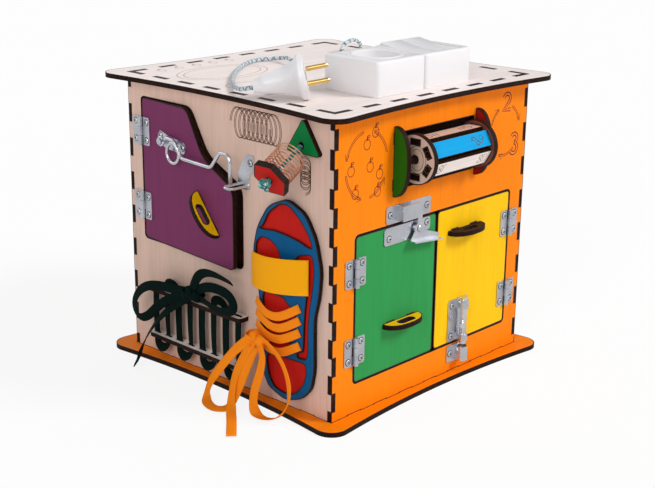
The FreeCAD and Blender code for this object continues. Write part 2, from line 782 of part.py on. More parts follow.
def build_bolt():
    rod_radius, strap_radius = 3.0, 4.3
    keeper_bore, keeper_radius = 4.1, 5.1
    bore = rod_radius + size("running_gap")
    plate_screws = [(26.5, 33.0), (26.5, 61.5), (45.5, 47.0)]
    plate = fitting_plate([(22, 28), (48.5, 28), (48.5, 67), (22, 67)], plate_screws, 2.0)
    lower = strap_round(28.5, 34.5, strap_radius, bore)
    upper = strap_round(58.5, 66.5, strap_radius, bore)
    shaped("bolt_plate", fused([plate, lower, upper]), front_place())

    rod_low, rod_length, knob_v = 25.4, 43.0, 46.0
    stem_radius, stem_length, knob_radius, knob_start, knob_length = 1.6, 9.0, 2.6, 7.5, 4.5
    aside = Vector(-0.8, 0, 0.6)
    shank = rod((BOLT_U, rod_low, BOLT_W), (0, 1, 0), rod_radius, rod_length)
    stem = facet_rod((BOLT_U, knob_v, BOLT_W), aside, stem_radius, stem_length)
    knob = facet_rod(Vector(BOLT_U, knob_v, BOLT_W) + aside * knob_start, aside, knob_radius, knob_length)
    shaped("bolt_rod", fused([shank, stem, knob]), front_place())

    keeper_screws = [(26.0, 16.5)]
    base = fitting_plate([(22, 8.5), (46, 8.5), (46, 24.5), (22, 24.5)], keeper_screws, 2.0)
    keeper = strap_round(10.0, 23.0, keeper_radius, keeper_bore)
    shaped("bolt_keeper", fused([base, keeper]), front_place())
    return keeper_screws, plate_screws


# Cabin hook on the purple door and its staple on the panel


HOOK_PIVOT = (-71.5, 201.7)
HOOK_W = 5.0
HOOK_WIRE = 1.5
RING_WIRE = 1.1
HOOK_ROUTE = [(-68.5, 202.7, HOOK_W), (-63, 206, HOOK_W), (-53, 205, HOOK_W), (-42, 191.8, HOOK_W),
              (-1, 191.8, HOOK_W), (11, 206.5, HOOK_W), (24.8, 207, HOOK_W), (24.8, 183.2, HOOK_W)]
HOOK_BENDS = [3.5, 6.0, 7.0, 8.0, 6.0, 6.5]
STAPLE_V = 180.4
STAPLE_LEGS = (19.8, 30.0)
STAPLE_REACH = 20.0
STAPLE_WIRE = 1.2
STAPLE_BEND = 4.5


def wire_ring(centre, radius, wire):
    """A closed ring of wire flat in front of the door."""
    start = (centre[0] + radius, centre[1], HOOK_W)
    section = Part.Face(Part.makePolygon(ring_points(start, (0, 1, 0), wire, WIRE_SIDES)))
    return section.revolve(Vector(*centre, HOOK_W), Vector(0, 0, 1), 360)


def build_hook():
    plate_screws = [(-78.0, 205.5), (-46.0, 199.5)]
    plate_corners = [(-82, 199), (-70, 195), (-43, 194), (-41.5, 204), (-66, 206.5), (-80, 210)]
    plate = fitting_plate(plate_corners, plate_screws, 3.0)
    boss_radius, stud_radius, head_radius = 3.4, 1.75, 3.0
    boss_height, head_w, head_height = 2.6, 6.8, 1.0
    boss = facet_rod((*HOOK_PIVOT, SEAT_W), (0, 0, 1), boss_radius, boss_height)
    stud = facet_rod((*HOOK_PIVOT, SEAT_W), (0, 0, 1), stud_radius, head_w)
    head = facet_rod((*HOOK_PIVOT, head_w), (0, 0, 1), head_radius, head_height)
    shaped("hook_plate", fused([plate, boss, stud, head]), purple_place())

    arm = tube("hook rod", HOOK_ROUTE, 2 * HOOK_WIRE, HOOK_BENDS, WIRE_SIDES)
    eye = wire_ring(HOOK_PIVOT, 3.3, HOOK_WIRE)
    finger_ring = wire_ring((-54.5, 194.0), 9.0, RING_WIRE)
    shaped("hook_rod", fused([arm, eye, finger_ring]), purple_place())

    staple_screws = [(32.5, 199.5)]
    base_corners = [(18, 176.5), (31.5, 176.5), (31.5, 190), (36.5, 192), (36.5, 206), (27, 206),
                    (18, 190)]
    base = fitting_plate(base_corners, staple_screws, 2.0)
    near, far = STAPLE_LEGS
    loop_points = [(near, STAPLE_V, SEAT_W), (near, STAPLE_V, STAPLE_REACH),
                   (far, STAPLE_V, STAPLE_REACH), (far, STAPLE_V, SEAT_W)]
    loop = tube("staple loop", loop_points, 2 * STAPLE_WIRE, [STAPLE_BEND, STAPLE_BEND], WIRE_SIDES)
    shaped("hook_staple", fused([base, loop]), left_place())
    return staple_screws, plate_screws


# Wall socket, double switch and plug on the top plate


def moulded_box(x_low, y_low, z_low):
    side = size("box_size")
    solid = Part.makeBox(side, side, size("box_height"), Vector(x_low, y_low, z_low))
    upright = [edge for edge in solid.Edges if abs(edge.tangentAt(edge.FirstParameter).z) > 0.9]
    solid = solid.makeFillet(size("box_edge"), upright)
    top = z_low + size("box_height")
    rim = [edge for edge in solid.Edges
           if abs(edge.BoundBox.ZMin - top) < 0.01 and abs(edge.BoundBox.ZMax - top) < 0.01]
    return solid.makeChamfer(1.5, rim)


PLATE_TOP = 2 * PLY + TOP
SOCKET_LOW = (-58.0, -108.0)
SWITCH_LOW = (2.4, -108.0)


def build_socket():
    body = moulded_box(*SOCKET_LOW, PLATE_TOP)
    centre = Vector(SOCKET_LOW[0] + size("box_size") / 2, SOCKET_LOW[1] + size("box_size") / 2, PLATE_TOP)
    depth = 13.0
    floor = size("box_height") - depth
    recess = Part.makeCylinder(19.5, depth + 1, centre + Vector(0, 0, floor))
    body = body.cut(recess)
    for side in (-1, 1):
        body = body.cut(Part.makeCylinder(2.4, 13.0, centre + Vector(side * 9.5, 0, floor - 12.0)))
    shaped("wall_socket", body)


def build_switch():
    side = size("box_size")
    height = size("box_height")
    body = moulded_box(*SWITCH_LOW, PLATE_TOP)
    window = Part.makeBox(side - 8, side - 8, 13.0,
                          Vector(SWITCH_LOW[0] + 4, SWITCH_LOW[1] + 4, PLATE_TOP + height - 12.0))
    pivot = Vector(SWITCH_LOW[0] + 3, SWITCH_LOW[1] + side / 2, PLATE_TOP + height - 5.0)
    bar = Part.makeCylinder(1.5, side - 6, pivot, Vector(1, 0, 0))
    shaped("switch_housing", fused([body.cut(window), bar]))

    reach = side / 2 - 4.5
    profile = [(-reach, -2.5), (-5, -5), (5, -5), (reach, -2.5), (reach, 5.5), (0, 3.4), (-reach, 5.5)]
    width = (side - 8) / 2 - 0.6
    for index, label in enumerate(("switch_rocker_left", "switch_rocker_right")):
        x_low = SWITCH_LOW[0] + 4 + 0.4 + index * (width + 0.4)
        corners = [Vector(x_low, pivot.y + y, pivot.z + z) for y, z in profile]
        face = Part.Face(Part.makePolygon(corners + corners[:1]))
        rocker = face.extrude(Vector(width, 0, 0))
        rocker = rocker.cut(Part.makeCylinder(1.55, side, pivot, Vector(1, 0, 0)))
        rest = Rotation(Vector(1, 0, 0), ROCKER_TILT)
        shaped(label, rocker, Placement(Vector(0, 0, 0), rest, pivot))


ROCKER_TILT = 5.0
PLUG_REAR = Vector(-131.0, -42.0, PLATE_TOP + 10.2)
PLUG_AZIMUTH = -46.5
PLUG_RISE = 11.6
PLUG_ROLL = 28.0


def plug_place():
    heading = Rotation(Vector(0, 0, 1), PLUG_AZIMUTH) * Rotation(Vector(0, 1, 0), -PLUG_RISE)
    return Placement(PLUG_REAR, heading * Rotation(Vector(1, 0, 0), PLUG_ROLL))


def build_plug():
    """Two-pin plug: a tapered grip turned about its axis and a round flange."""
    profile = [(0, 2.1), (0, 5.2), (5, 6.2), (8, 8.2), (24, 10.5), (33, 13.5), (38, 18.3), (42, 18.3),
               (42, 0), (2, 0), (2, 2.1)]
    corners = [Vector(x, r, 0) for x, r in profile]
    face = Part.Face(Part.makePolygon(corners + corners[:1]))
    grip = face.revolve(Vector(0, 0, 0), Vector(1, 0, 0), 360)
    for side in (-1, 1):
        flat = Part.makeBox(30.0, 12.0, 30.0, Vector(6.0, side * 8.6 if side > 0 else -20.6, -15.0))
        grip = grip.cut(flat)
    shaped("plug", grip, plug_place())
    pins = []
    for side in (-1, 1):
        shank = Part.makeCylinder(2.0, 17.5, Vector(42.0, side * 9.5, 0), Vector(1, 0, 0))
        tip = Part.makeCone(2.0, 1.0, 1.5, Vector(59.5, side * 9.5, 0), Vector(1, 0, 0))
        pins.append(shank.fuse(tip))
    compound("plug_pins", pins, plug_place())


CORD_ROUTE = [(-131.0, -42.0, 267.4), (-138.5, -33.5, 265.5), (-137.5, -22.0, 263.0), (-131.0, -6.0, 260.6),
              (-118.0, 14.0, 260.0), (-101.0, 34.0, 260.0), (-80.0, 54.0, 260.0), (-55.0, 72.0, 260.0),
              (-31.0, 81.0, 260.0), (-12.0, 78.0, 260.2), (-2.0, 66.0, 262.0), (2.6, 55.0, 264.6),
              (3.0, 45.6, 262.0), (3.0, 45.0, 252.0), (9.0, 46.0, 245.0), (28.0, 49.5, 242.0),
              (52.0, 54.5, 242.5), (72.0, 58.5, 245.0), (79.0, 60.0, 252.0), (79.4, 60.0, 262.0),
              (86.0, 61.3, 268.0), (98.0, 63.2, 270.0), (109.0, 64.8, 267.5), (115.6, 66.0, 261.0),
              (116.0, 66.0, 250.0), (116.0, 66.0, 246.0)]


def build_plug_cord():
    last = Vector(*CORD_ROUTE[-1])
    cord = tube("plug cord", CORD_ROUTE[:-2] + CORD_ROUTE[-1:], size("cord_diameter"))
    knot = facet_ball(last - Vector(0, 0, 3.6), 4.2)
    shaped("plug_cord", cord.fuse(knot))


# Spring toy: a cord through a fixed triangle, a spring and a sliding hexagon


TOY_HOLE = (93.5, 225.0)


def toy_place(reach):
    """Place on the cord, that far out of the triangle, with z along the cord."""
    droop = math.radians(size("toy_droop"))
    along = Vector(0, -math.sin(droop), math.cos(droop))
    start = Vector(*TOY_HOLE, PLY)
    local = Placement(start + along * reach, Rotation(Vector(1, 0, 0), size("toy_droop")))
    return left_place() * local


SPRING_START = 11.0


def coil_wire(radius, length, turns):
    """Coil of half turns, each a pair of tangent arcs between two points of the helix."""
    slope = length / (2 * math.pi * turns)

    def at(angle):
        return Vector(radius * math.cos(angle), radius * math.sin(angle), slope * angle)

    def heading(angle):
        return Vector(-radius * math.sin(angle), radius * math.cos(angle), slope).normalize()

    edges = []
    for half_turn in range(2 * turns):
        low = math.pi * half_turn
        start, end = at(low), at(low + math.pi)
        out, into = heading(low), heading(low + math.pi)
        chord = end - start
        along = chord.dot(out + into)
        spread = 2 * (1 - out.dot(into))
        reach = (math.sqrt(along * along + spread * chord.dot(chord)) - along) / spread
        first, second = start + out * reach, end - into * reach
        middle = (first + second) * 0.5
        for before, corner, after in ((start, first, middle), (middle, second, end)):
            half = (before - corner).getAngle(after - corner) / 2
            edges.append(Part.Arc(*corner_arc(before, corner, after, reach * math.tan(half))).toShape())
    return Part.Wire(edges)


def least_gap(wire, turns, wire_diameter):
    """Least distance between points more than half a turn apart, less the wire."""
    points = wire.discretize(24 * turns)
    least = min((a - b).Length for index, a in enumerate(points) for b in points[index + 13:])
    return least - wire_diameter


def build_toy():
    corners = [(76.2, 218.4), (114.0, 218.4), (95.0, 247.0)]
    cut_sheet("toy_triangle", [rounded(corners, 2.0), circle(*TOY_HOLE, 2.6)], left_place())

    wire_radius = size("spring_wire")
    turns = int(size("spring_turns"))
    coil = coil_wire(size("spring_radius"), size("spring_length"), turns)
    heading = (2 * math.pi * size("spring_radius") * turns, size("spring_length"))
    ring = Part.makePolygon(ring_points((size("spring_radius"), 0, 0), (0, *heading), wire_radius, LACE_SIDES))
    spring = coil.makePipeShell([ring], True, False)
    print("spring: least gap %.2f, volume ratio %.4f" % (
        least_gap(coil, turns, 2 * wire_radius),
        spring.Volume / (faceted_area(wire_radius, LACE_SIDES) * coil.Length)))
    shaped("toy_spring", spring, toy_place(SPRING_START))

    cord = size("cord_diameter") / 2
    reach = SPRING_START + size("spring_length") + size("hexagon_thickness") + 5.0
    straight = facet_rod((0, 0, 0.2), (0, 0, 1), cord, reach + 1.0)
    knot = facet_ball(Vector(0, 0, reach + 2.0), 5.2)
    shaped("toy_cord", straight.fuse(knot), toy_place(0))

    across = size("hexagon_across") / 2
    points = [(across * math.cos(math.radians(60 * step)), across * math.sin(math.radians(60 * step)))
              for step in range(6)]
    cut_sheet("toy_hexagon", [rounded(points, 1.5), circle(0, 0, cord + 0.4)],
              toy_place(SPRING_START + size("spring_length") + 1.2), "Sizes.hexagon_thickness")


# Shoe with strap and laces


def smooth_loop(points):
    """Closed outline whose corners are as round as their sides allow."""
    corners = [Vector(*point, 0) for point in points]
    radii = []
    for index, corner in enumerate(corners):
        back = corners[index - 1] - corner
        onward = corners[(index + 1) % len(corners)] - corner
        half = back.getAngle(onward) / 2
        radii.append(0.47 * min(back.Length, onward.Length) * math.tan(half))
    return rounded(points, radii)


def build_shoe():
    sole = [(56, 12), (76, 5.5), (95, 12), (106, 24), (109.5, 42), (109, 64), (109, 86), (114, 105),
            (116, 127), (110, 152), (98, 171), (77, 179.5), (56, 170), (43, 149), (38, 128),
            (44, 100), (47, 78), (46.5, 55), (47.5, 36), (50, 23)]
    vamp = [(55, 143), (77, 136), (98, 147), (95, 163), (77, 171.5), (60, 162)]
    tongue = [(53.0, 128), (62, 118), (62, 100), (58.5, 74), (57.0, 52.5), (62, 50), (77, 48), (86, 49.5),
              (88.5, 70), (91.5, 93), (95, 112), (92, 131), (82, 129), (66, 128)]
    heel = [(57, 35), (59, 23), (77, 15.5), (95, 22), (99, 36), (78, 39)]
    quarter = [(96, 48), (101, 49), (101.5, 66), (101, 84), (106, 104), (104, 122), (101.5, 110), (97, 88),
               (95.5, 68), (94.5, 52)]
    holes = [smooth_loop(vamp), smooth_loop(tongue), smooth_loop(heel), smooth_loop(quarter)]
    cut_sheet("shoe_sole", [smooth_loop(sole)] + holes, left_place())
    inlays = []
    for outline in (vamp, tongue, heel, quarter):
        inlays.append(slab([smooth_loop(outline)], 0, PLY - 1.0))
    compound("shoe_inlays", inlays, left_place())

    strap_thickness = 1.6
    outer = [Vector(38, 0, 4.05), Vector(70, 0, 14.5), Vector(104, 0, 4.05)]
    inner = [Vector(104 - 2.4, 0, 4.05), Vector(70, 0, 14.5 - strap_thickness), Vector(38 + 2.4, 0, 4.05)]
    profile = Part.Wire([Part.Arc(*outer).toShape(), Part.makeLine(outer[2], inner[0]),
                         Part.Arc(*inner).toShape(), Part.makeLine(inner[2], outer[0])])
    strap = Part.Face(profile).extrude(Vector(0, 36.0, 0))
    strap.translate(Vector(0, 99.0, 0))
    shaped("shoe_strap", strap, left_place())

    width = size("lace_width")
    thickness = size("lace_thickness")
    bands = []
    for middle_v, tilt in ((84.0, -9.0), (69.0, -9.0), (55.0, -7.0)):
        outer = [Vector(-26, 0, 0), Vector(0, 0, 3.4 + thickness), Vector(26, 0, 0)]
        inner = [Vector(26 - 3.2, 0, 0), Vector(0, 0, 3.4), Vector(-26 + 3.2, 0, 0)]
        profile = Part.Wire([Part.Arc(*outer).toShape(), Part.makeLine(outer[2], inner[0]),
                             Part.Arc(*inner).toShape(), Part.makeLine(inner[2], outer[0])])
        band = Part.Face(profile).extrude(Vector(0, width, 0))
        band.Placement = Placement(Vector(68.0, middle_v - width / 2, PLY + 0.05),
                                   Rotation(Vector(0, 0, 1), tilt))
        bands.append(band)
    compound("shoe_lace", bands, left_place())


SHOE_BOW = {
    "left loop": [(49.0, 58.0, 14.0), (37.0, 48.0, 19.0), (24.0, 30.0, 25.0), (13.0, 12.0, 31.0),
                  (12.0, -0.6, 35.0), (22.0, -2.3, 43.0), (36.0, -2.3, 46.0), (44.0, -1.5, 37.0),
                  (45.0, 12.0, 29.0), (48.0, 32.0, 22.0), (52.0, 50.0, 16.0)],
    "tail": [(50.0, 54.0, 15.0), (43.0, 40.0, 21.0), (39.0, 22.0, 27.0), (42.0, 6.0, 33.5),
             (50.0, -2.0, 41.0), (64.0, -2.4, 53.0), (82.0, -2.4, 70.0)],
    "right loop": [(54.0, 56.0, 15.0), (66.0, 49.0, 19.0), (65.0, 32.0, 22.0), (61.0, 14.0, 26.0),
                   (64.0, 0.0, 29.0), (77.0, -2.2, 31.0), (91.0, 1.0, 27.0), (99.0, 14.0, 23.0),
                   (97.0, 32.0, 20.0), (86.0, 48.0, 18.0), (70.0, 57.0, 16.5), (59.0, 59.0, 15.0)],
}
LACING_BOW = {
    "left loop": [(-26.0, 78.0, 16.5), (-44.0, 76.0, 19.0), (-64.0, 76.0, 20.5), (-83.0, 71.0, 21.0),
                  (-97.0, 60.0, 20.5), (-103.0, 46.0, 20.0), (-96.0, 36.0, 19.0), (-84.0, 41.0, 18.0),
                  (-70.0, 55.0, 17.5), (-50.0, 68.0, 17.0), (-30.0, 75.0, 16.0)],
    "left tail": [(-28.0, 74.0, 15.5), (-46.0, 62.0, 17.0), (-64.0, 48.0, 18.0), (-80.0, 30.0, 19.0),
                  (-90.0, 12.0, 21.5), (-91.0, -0.5, 26.0), (-84.0, -2.4, 36.0)],
    "right loop": [(-24.0, 78.0, 16.5), (-10.0, 90.0, 18.0), (8.0, 98.0, 18.5), (24.0, 96.0, 18.5),
                   (30.0, 85.0, 18.0), (20.0, 76.0, 17.0), (0.0, 74.0, 16.5), (-18.0, 76.0, 16.0)],
    "right tail": [(-24.0, 80.0, 17.5), (-16.0, 94.0, 20.0), (-4.0, 103.0, 21.0), (14.0, 104.0, 21.0),
                   (30.0, 101.0, 21.0)],
}


def build_bows():
    for label, strands, knot in (("shoe_bow", SHOE_BOW, (52.0, 58.0, 13.0)),
                                 ("lacing_bow", LACING_BOW, (-26.0, 77.0, 15.0))):
        solids = [tube(label + " " + name, points, size("lace_tube"), sides=LACE_SIDES)
                  for name, points in strands.items()]
        centre = facet_ball(Vector(*knot), 6.0)
        for solid in solids:
            centre = centre.cut(solid)
        compound(label, [centre] + solids, left_place())


# Lacing frame: two standing rails with a flat lace through their slots


def build_lacing_frame():
    reach = size("rail_reach")
    width = size("lace_width")
    places = [LACING_FIRST + size("lacing_pitch") * index for index in range(8)]
    low, high = RAIL_SPAN
    rails = []
    for level in RAIL_LEVELS.values():
        rail = rounded([(low, 0), (high, 0), (high, reach), (low, reach)], [0.3, 0.3, 3.0, 3.0])
        slots = [rectangle(u - width / 2 - 0.4, 4.4, u + width / 2 + 0.4, 6.6) for u in places]
        solid = slab([rail] + slots, -PLY / 2, PLY)
        for middle in (-62.0, 0.0):
            solid = solid.fuse(block((middle - 5.0, -PLY, -PLY / 2), (middle + 5.0, 0, PLY / 2)))
        upright = Placement(Vector(0, level, 0), Rotation(Vector(1, 0, 0), 90))
        rails.append(placed(solid.removeSplitter(), left_place() * upright))
    compound("lacing_rails", rails)

    thickness = size("lace_thickness")
    w_low = 5.5 - thickness / 2
    upper = RAIL_LEVELS["upper"] + PLY / 2
    lower = RAIL_LEVELS["lower"] - PLY / 2
    strands = []
    half_pitch = size("lacing_pitch") / 2
    for index, u in enumerate(places):
        strands.append(slab([rectangle(u - width / 2, lower - 1, u + width / 2, upper + 1)], w_low, thickness))
        if index == len(places) - 1:
            continue
        below = index % 2 == 1
        level = lower - 1 if below else upper + 1
        bend = -1 if below else 1
        centre_u = u + half_pitch
        outer = half_pitch + width / 2
        inner = half_pitch - width / 2
        arcs = [Part.Arc(Vector(centre_u - outer, level, 0), Vector(centre_u, level + bend * outer * 0.75, 0),
                         Vector(centre_u + outer, level, 0)),
                Part.LineSegment(Vector(centre_u + outer, level, 0), Vector(centre_u + inner, level, 0)),
                Part.Arc(Vector(centre_u + inner, level, 0), Vector(centre_u, level + bend * inner * 0.6, 0),
                         Vector(centre_u - inner, level, 0)),
                Part.LineSegment(Vector(centre_u - inner, level, 0), Vector(centre_u - outer, level, 0))]
        strands.append(slab([arcs], w_low, thickness))
    shaped("lacing_cord", fused(strands), left_place())


def build_screws(latch, bolt, hook):
    thickness = size("hinge_thickness")
    on_panels = []
    on_doors = {"green": [], "yellow": [], "purple": []}
    doors = [("green", GREEN_U, 1, FRONT_HINGES, front_place()),
             ("yellow", YELLOW_U, -1, FRONT_HINGES, front_place()),
             ("purple", PURPLE_U, 1, PURPLE_HINGES, left_place())]
    for name, u_axis, door_side, spans, fixed in doors:
        for low, high in spans:
            heads = screws(hinge_screw_places(u_axis, -door_side, low, high), thickness)
            on_panels += [placed(head, fixed) for head in heads]
            on_doors[name] += hinge_screw_places(u_axis, door_side, low, high)
    for places in (latch[0], bolt[0]):
        on_panels += [placed(head, front_place()) for head in screws(places, thickness)]
    on_panels += [placed(head, left_place()) for head in screws(hook[0], thickness)]
    compound("panel_screws", on_panels)
    compound("green_door_screws", screws(on_doors["green"] + latch[1], thickness), front_place())
    compound("yellow_door_screws", screws(on_doors["yellow"] + bolt[1], thickness), front_place())
    compound("purple_door_screws", screws(on_doors["purple"] + hook[1], thickness), purple_place())


def build_all():
    build_cube()
    build_doors()
    build_hinges()
    build_drum()
    latch = build_latch()
    bolt = build_bolt()
    hook = build_hook()
    build_screws(latch, bolt, hook)
    build_socket()
    build_switch()
    build_plug()
    build_plug_cord()
    build_toy()
    build_shoe()
    build_bows()
    build_lacing_frame()


def check_and_write():
    doc.recompute()
    for item in doc.Objects:
        for state in ("Invalid", "Error"):
            if state in item.State:
                raise RuntimeError("%s is %s" % (item.Label, state))
    os.makedirs("parts", exist_ok=True)
    shapes = {part.Label: part.Shape for part in parts}
    faulty = [label for label, shape in shapes.items()
              if shape.isNull() or not shape.isValid() or not shape.Solids]
    if faulty:
        raise RuntimeError("no valid solid: " + ", ".join(faulty))
    for label, shape in shapes.items():
        shape.exportStep(os.path.join("parts", label + ".step"))
    print("%d nodes" % len(parts))


build_all()
check_and_write()
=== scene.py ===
import functools
import json
import math
import random
from contextlib import contextmanager

import bmesh
import bpy
from mathutils import Matrix, Vector
from mathutils.geometry import tessellate_polygon


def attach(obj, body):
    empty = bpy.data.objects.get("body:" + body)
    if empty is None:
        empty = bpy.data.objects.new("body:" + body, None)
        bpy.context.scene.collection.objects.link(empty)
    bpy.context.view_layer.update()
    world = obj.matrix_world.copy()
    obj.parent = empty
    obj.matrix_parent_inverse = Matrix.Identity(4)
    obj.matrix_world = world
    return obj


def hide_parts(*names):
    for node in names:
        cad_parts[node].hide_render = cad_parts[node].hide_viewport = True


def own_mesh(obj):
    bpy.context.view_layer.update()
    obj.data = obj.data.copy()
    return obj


# Looks of the busy cube. Routes and places are in millimetres, meshes in metres.
# On a face, u runs to the right, v up from the base plate's top and w out of the face.

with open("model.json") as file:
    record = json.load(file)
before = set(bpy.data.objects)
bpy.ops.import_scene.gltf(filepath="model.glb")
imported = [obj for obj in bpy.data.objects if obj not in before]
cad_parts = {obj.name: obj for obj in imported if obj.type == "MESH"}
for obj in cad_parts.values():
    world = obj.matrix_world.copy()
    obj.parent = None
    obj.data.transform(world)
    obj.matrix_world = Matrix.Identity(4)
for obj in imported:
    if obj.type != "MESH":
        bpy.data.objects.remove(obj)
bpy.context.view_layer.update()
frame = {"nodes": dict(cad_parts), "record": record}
nodes = frame["nodes"]
MM = 0.001
PLY = 4
HALF = 125
TOP = 258
KNUCKLE_W = 2.5
PURPLE_HINGE_U = -107
PURPLE_AJAR = math.radians(4.5)
PURPLE_HANDLE_TURN = math.radians(-48)
TOY_HOLE = (93.5, 225)
TOY_DROOP = math.radians(32)
DRUM_V = 205
DRUM_W = 6.5
ENGRAVED_AT = 0.06
ALONG_X = (1, 0, 0)
ALONG_Y = (0, 1, 0)
UP = (0, 0, 1)


# Places


def front(u, v, w=0):
    return Vector((u, -HALF - w, v + PLY)) * MM


def left(u, v, w=0):
    return Vector((-HALF - w, -u, v + PLY)) * MM


def purple(u, v, w=0):
    """A place on the left face, carried round with the door that stands ajar."""
    axis = left(PURPLE_HINGE_U, 0, KNUCKLE_W)
    return Matrix.Rotation(-PURPLE_AJAR, 4, "Z") @ (left(u, v, w) - axis) + axis


def top(x, y, z=0):
    return Vector((x, y, TOP + z)) * MM


def toy(x, y, reach):
    """A place about the toy's cord, that far out of the triangle."""
    across = Vector((0, -1, 0))
    along = Vector((-math.cos(TOY_DROOP), 0, -math.sin(TOY_DROOP)))
    return left(*TOY_HOLE, PLY) + (across * x + along.cross(across) * y + along * reach) * MM


def heading(place, x, y, z):
    return (place(x, y, z) - place(0, 0, 0)).normalized()


def outward(place):
    return heading(place, 0, 0, 1)


def upward(place):
    return heading(place, 0, 1, 0)


def rightward(place):
    return heading(place, 1, 0, 0)


def slat_way(index):
    """The way that one of the drum's six slats faces."""
    angle = math.radians(30 + 60 * index)
    return Vector((0, -math.cos(angle), math.sin(angle)))


def handle_ways():
    """Along and across the purple door's slanting handle."""
    cosine, sine = math.cos(PURPLE_HANDLE_TURN), math.sin(PURPLE_HANDLE_TURN)
    right, upper = rightward(purple), upward(purple)
    return right * cosine + upper * sine, upper * cosine - right * sine


# Colours and finishes


def srgb(red, green, blue):
    """Linear colour from an ordinary 0 to 255 one."""
    shares = [value / 255 for value in (red, green, blue)]
    return (*[share / 12.92 if share <= 0.04045 else ((share + 0.055) / 1.055) ** 2.4
              for share in shares], 1)


def shade(colour, factor):
    return (*[min(1, channel * factor) for channel in colour[:3]], 1)


class Finish:
    """A procedural material, or the nodes of another owner, and short ways to add to them."""

    def __init__(self, name, roughness=0.5, metallic=0, owner=None):
        self.material = owner or bpy.data.materials.new(name)
        self.material.use_nodes = True
        self.tree = self.material.node_tree
        self.coordinates = self.tree.nodes.new("ShaderNodeTexCoord").outputs
        self.shader = self.tree.nodes.get("Principled BSDF")
        if self.shader:
            self.surface("Roughness", roughness)
            self.surface("Metallic", metallic)

    def set(self, socket, value):
        if isinstance(value, bpy.types.NodeSocket):
            self.tree.links.new(value, socket)
        else:
            socket.default_value = value

    def surface(self, name, value):
        self.set(self.shader.inputs[name], value)

    def node(self, kind, output=0, **inputs):
        node = self.tree.nodes.new("ShaderNode" + kind)
        for name, value in inputs.items():
            self.set(node.inputs[name], value)
        return node.outputs[output]

    def noise(self, scale, detail=3, roughness=0.5, distortion=0, source="Object", fineness=1):
        """Cloudy noise, its scale given once or for each of three ways."""
        ways = scale if hasattr(scale, "__len__") else (scale, scale, scale)
        vector = self.node("Mapping", Vector=self.coordinates[source], Scale=ways)
        return self.node("TexNoise", "Fac", Vector=vector, Scale=fineness, Detail=detail,
                         Roughness=roughness, Distortion=distortion)

    def ramp(self, factor, *stops):
        node = self.tree.nodes.new("ShaderNodeValToRGB")
        self.set(node.inputs["Fac"], factor)
        elements = node.color_ramp.elements
        elements[0].position, elements[0].color = stops[0]
        elements[1].position, elements[1].color = stops[-1]
        for position, colour in stops[1:-1]:
            elements.new(position).color = colour
        return node.outputs["Color"]

    def filled(self, node, *values):
        for socket, value in zip(node.inputs, values):
            self.set(socket, value)
        return node.outputs[0]

    def math(self, operation, *values):
        node = self.tree.nodes.new("ShaderNodeMath")
        node.operation = operation
        return self.filled(node, *values)

    def scaled(self, value, factor, offset):
        return self.math("MULTIPLY_ADD", value, factor, offset)

    def wave(self, value, length):
        return self.math("SINE", self.math("MULTIPLY", value, math.tau / length))

    def mix(self, factor, first, second, blend="MIX"):
        node = self.tree.nodes.new("ShaderNodeMix")
        node.data_type = "RGBA"
        node.blend_type = blend
        self.set(node.inputs["Factor"], factor)
        colours = [socket for socket in node.inputs if socket.type == "RGBA"]
        self.set(colours[0], first)
        self.set(colours[1], second)
        return [socket for socket in node.outputs if socket.type == "RGBA"][0]

    def blended(self, factor, first, second):
        return self.filled(self.tree.nodes.new("ShaderNodeMixShader"), factor, first, second)

    def seen_as(self, lit, ray, tone, share):
        """Mixes a plain grey into what one kind of ray sees."""
        glow = self.node("Emission", Color=(tone, tone, tone, 1))
        return self.blended(self.math("MULTIPLY", self.node("LightPath", ray), share), lit, glow)

    def facing(self, axis, limit=0.7):
        """One where the surface faces along the axis, nought on the cut edges."""
        node = self.tree.nodes.new("ShaderNodeVectorMath")
        node.operation = "DOT_PRODUCT"
        self.set(node.inputs[0], self.coordinates["Normal"])
        self.set(node.inputs[1], axis)
        return self.math("GREATER_THAN", self.math("ABSOLUTE", node.outputs["Value"]), limit)

    def parts_of_uv(self):
        node = self.tree.nodes.new("ShaderNodeSeparateXYZ")
        self.set(node.inputs[0], self.coordinates["UV"])
        return node.outputs["X"], node.outputs["Y"]

    def coloured(self, factor, low, high):
        self.surface("Base Color", self.ramp(factor, low, high))

    def bump(self, height, strength, distance):
        self.surface("Normal", self.node("Bump", Height=height, Strength=strength, Distance=distance))


BURNT = srgb(16, 6, 4)
BURNT_LIGHT = srgb(52, 25, 15)
WHITE_TONE = srgb(255, 255, 255)
GRAIN_DEPTH = 0.13


def plywood(name, colour, across, along):
    """Laser-cut plywood: stained faces with grain along one way, and burnt edges."""
    finish = Finish(name, 0.52)
    fibres = finish.noise([850 - 828 * abs(part) for part in along], 4, 0.6, 0.4)
    figure = finish.noise([60 - 54 * abs(part) for part in along], 2, distortion=1.2)
    grain = finish.ramp(fibres, (0.25, shade(colour, 1 - GRAIN_DEPTH)), (0.5, colour),
                        (0.78, shade(colour, 1 + GRAIN_DEPTH * 0.35)))
    clouds = finish.ramp(figure, (0.3, shade(WHITE_TONE, 1 - GRAIN_DEPTH * 0.55)), (0.7, WHITE_TONE))
    face = finish.mix(1, grain, clouds, "MULTIPLY")
    edge = finish.ramp(finish.noise(500), (0.35, BURNT), (0.75, BURNT_LIGHT))
    finish.surface("Base Color", finish.mix(finish.facing(across), edge, face))
    finish.surface("Roughness", finish.scaled(fibres, 0.25, 0.38))
    finish.surface("Specular IOR Level", 0.1)
    finish.bump(fibres, 0.22, 0.00025)
    return finish.material


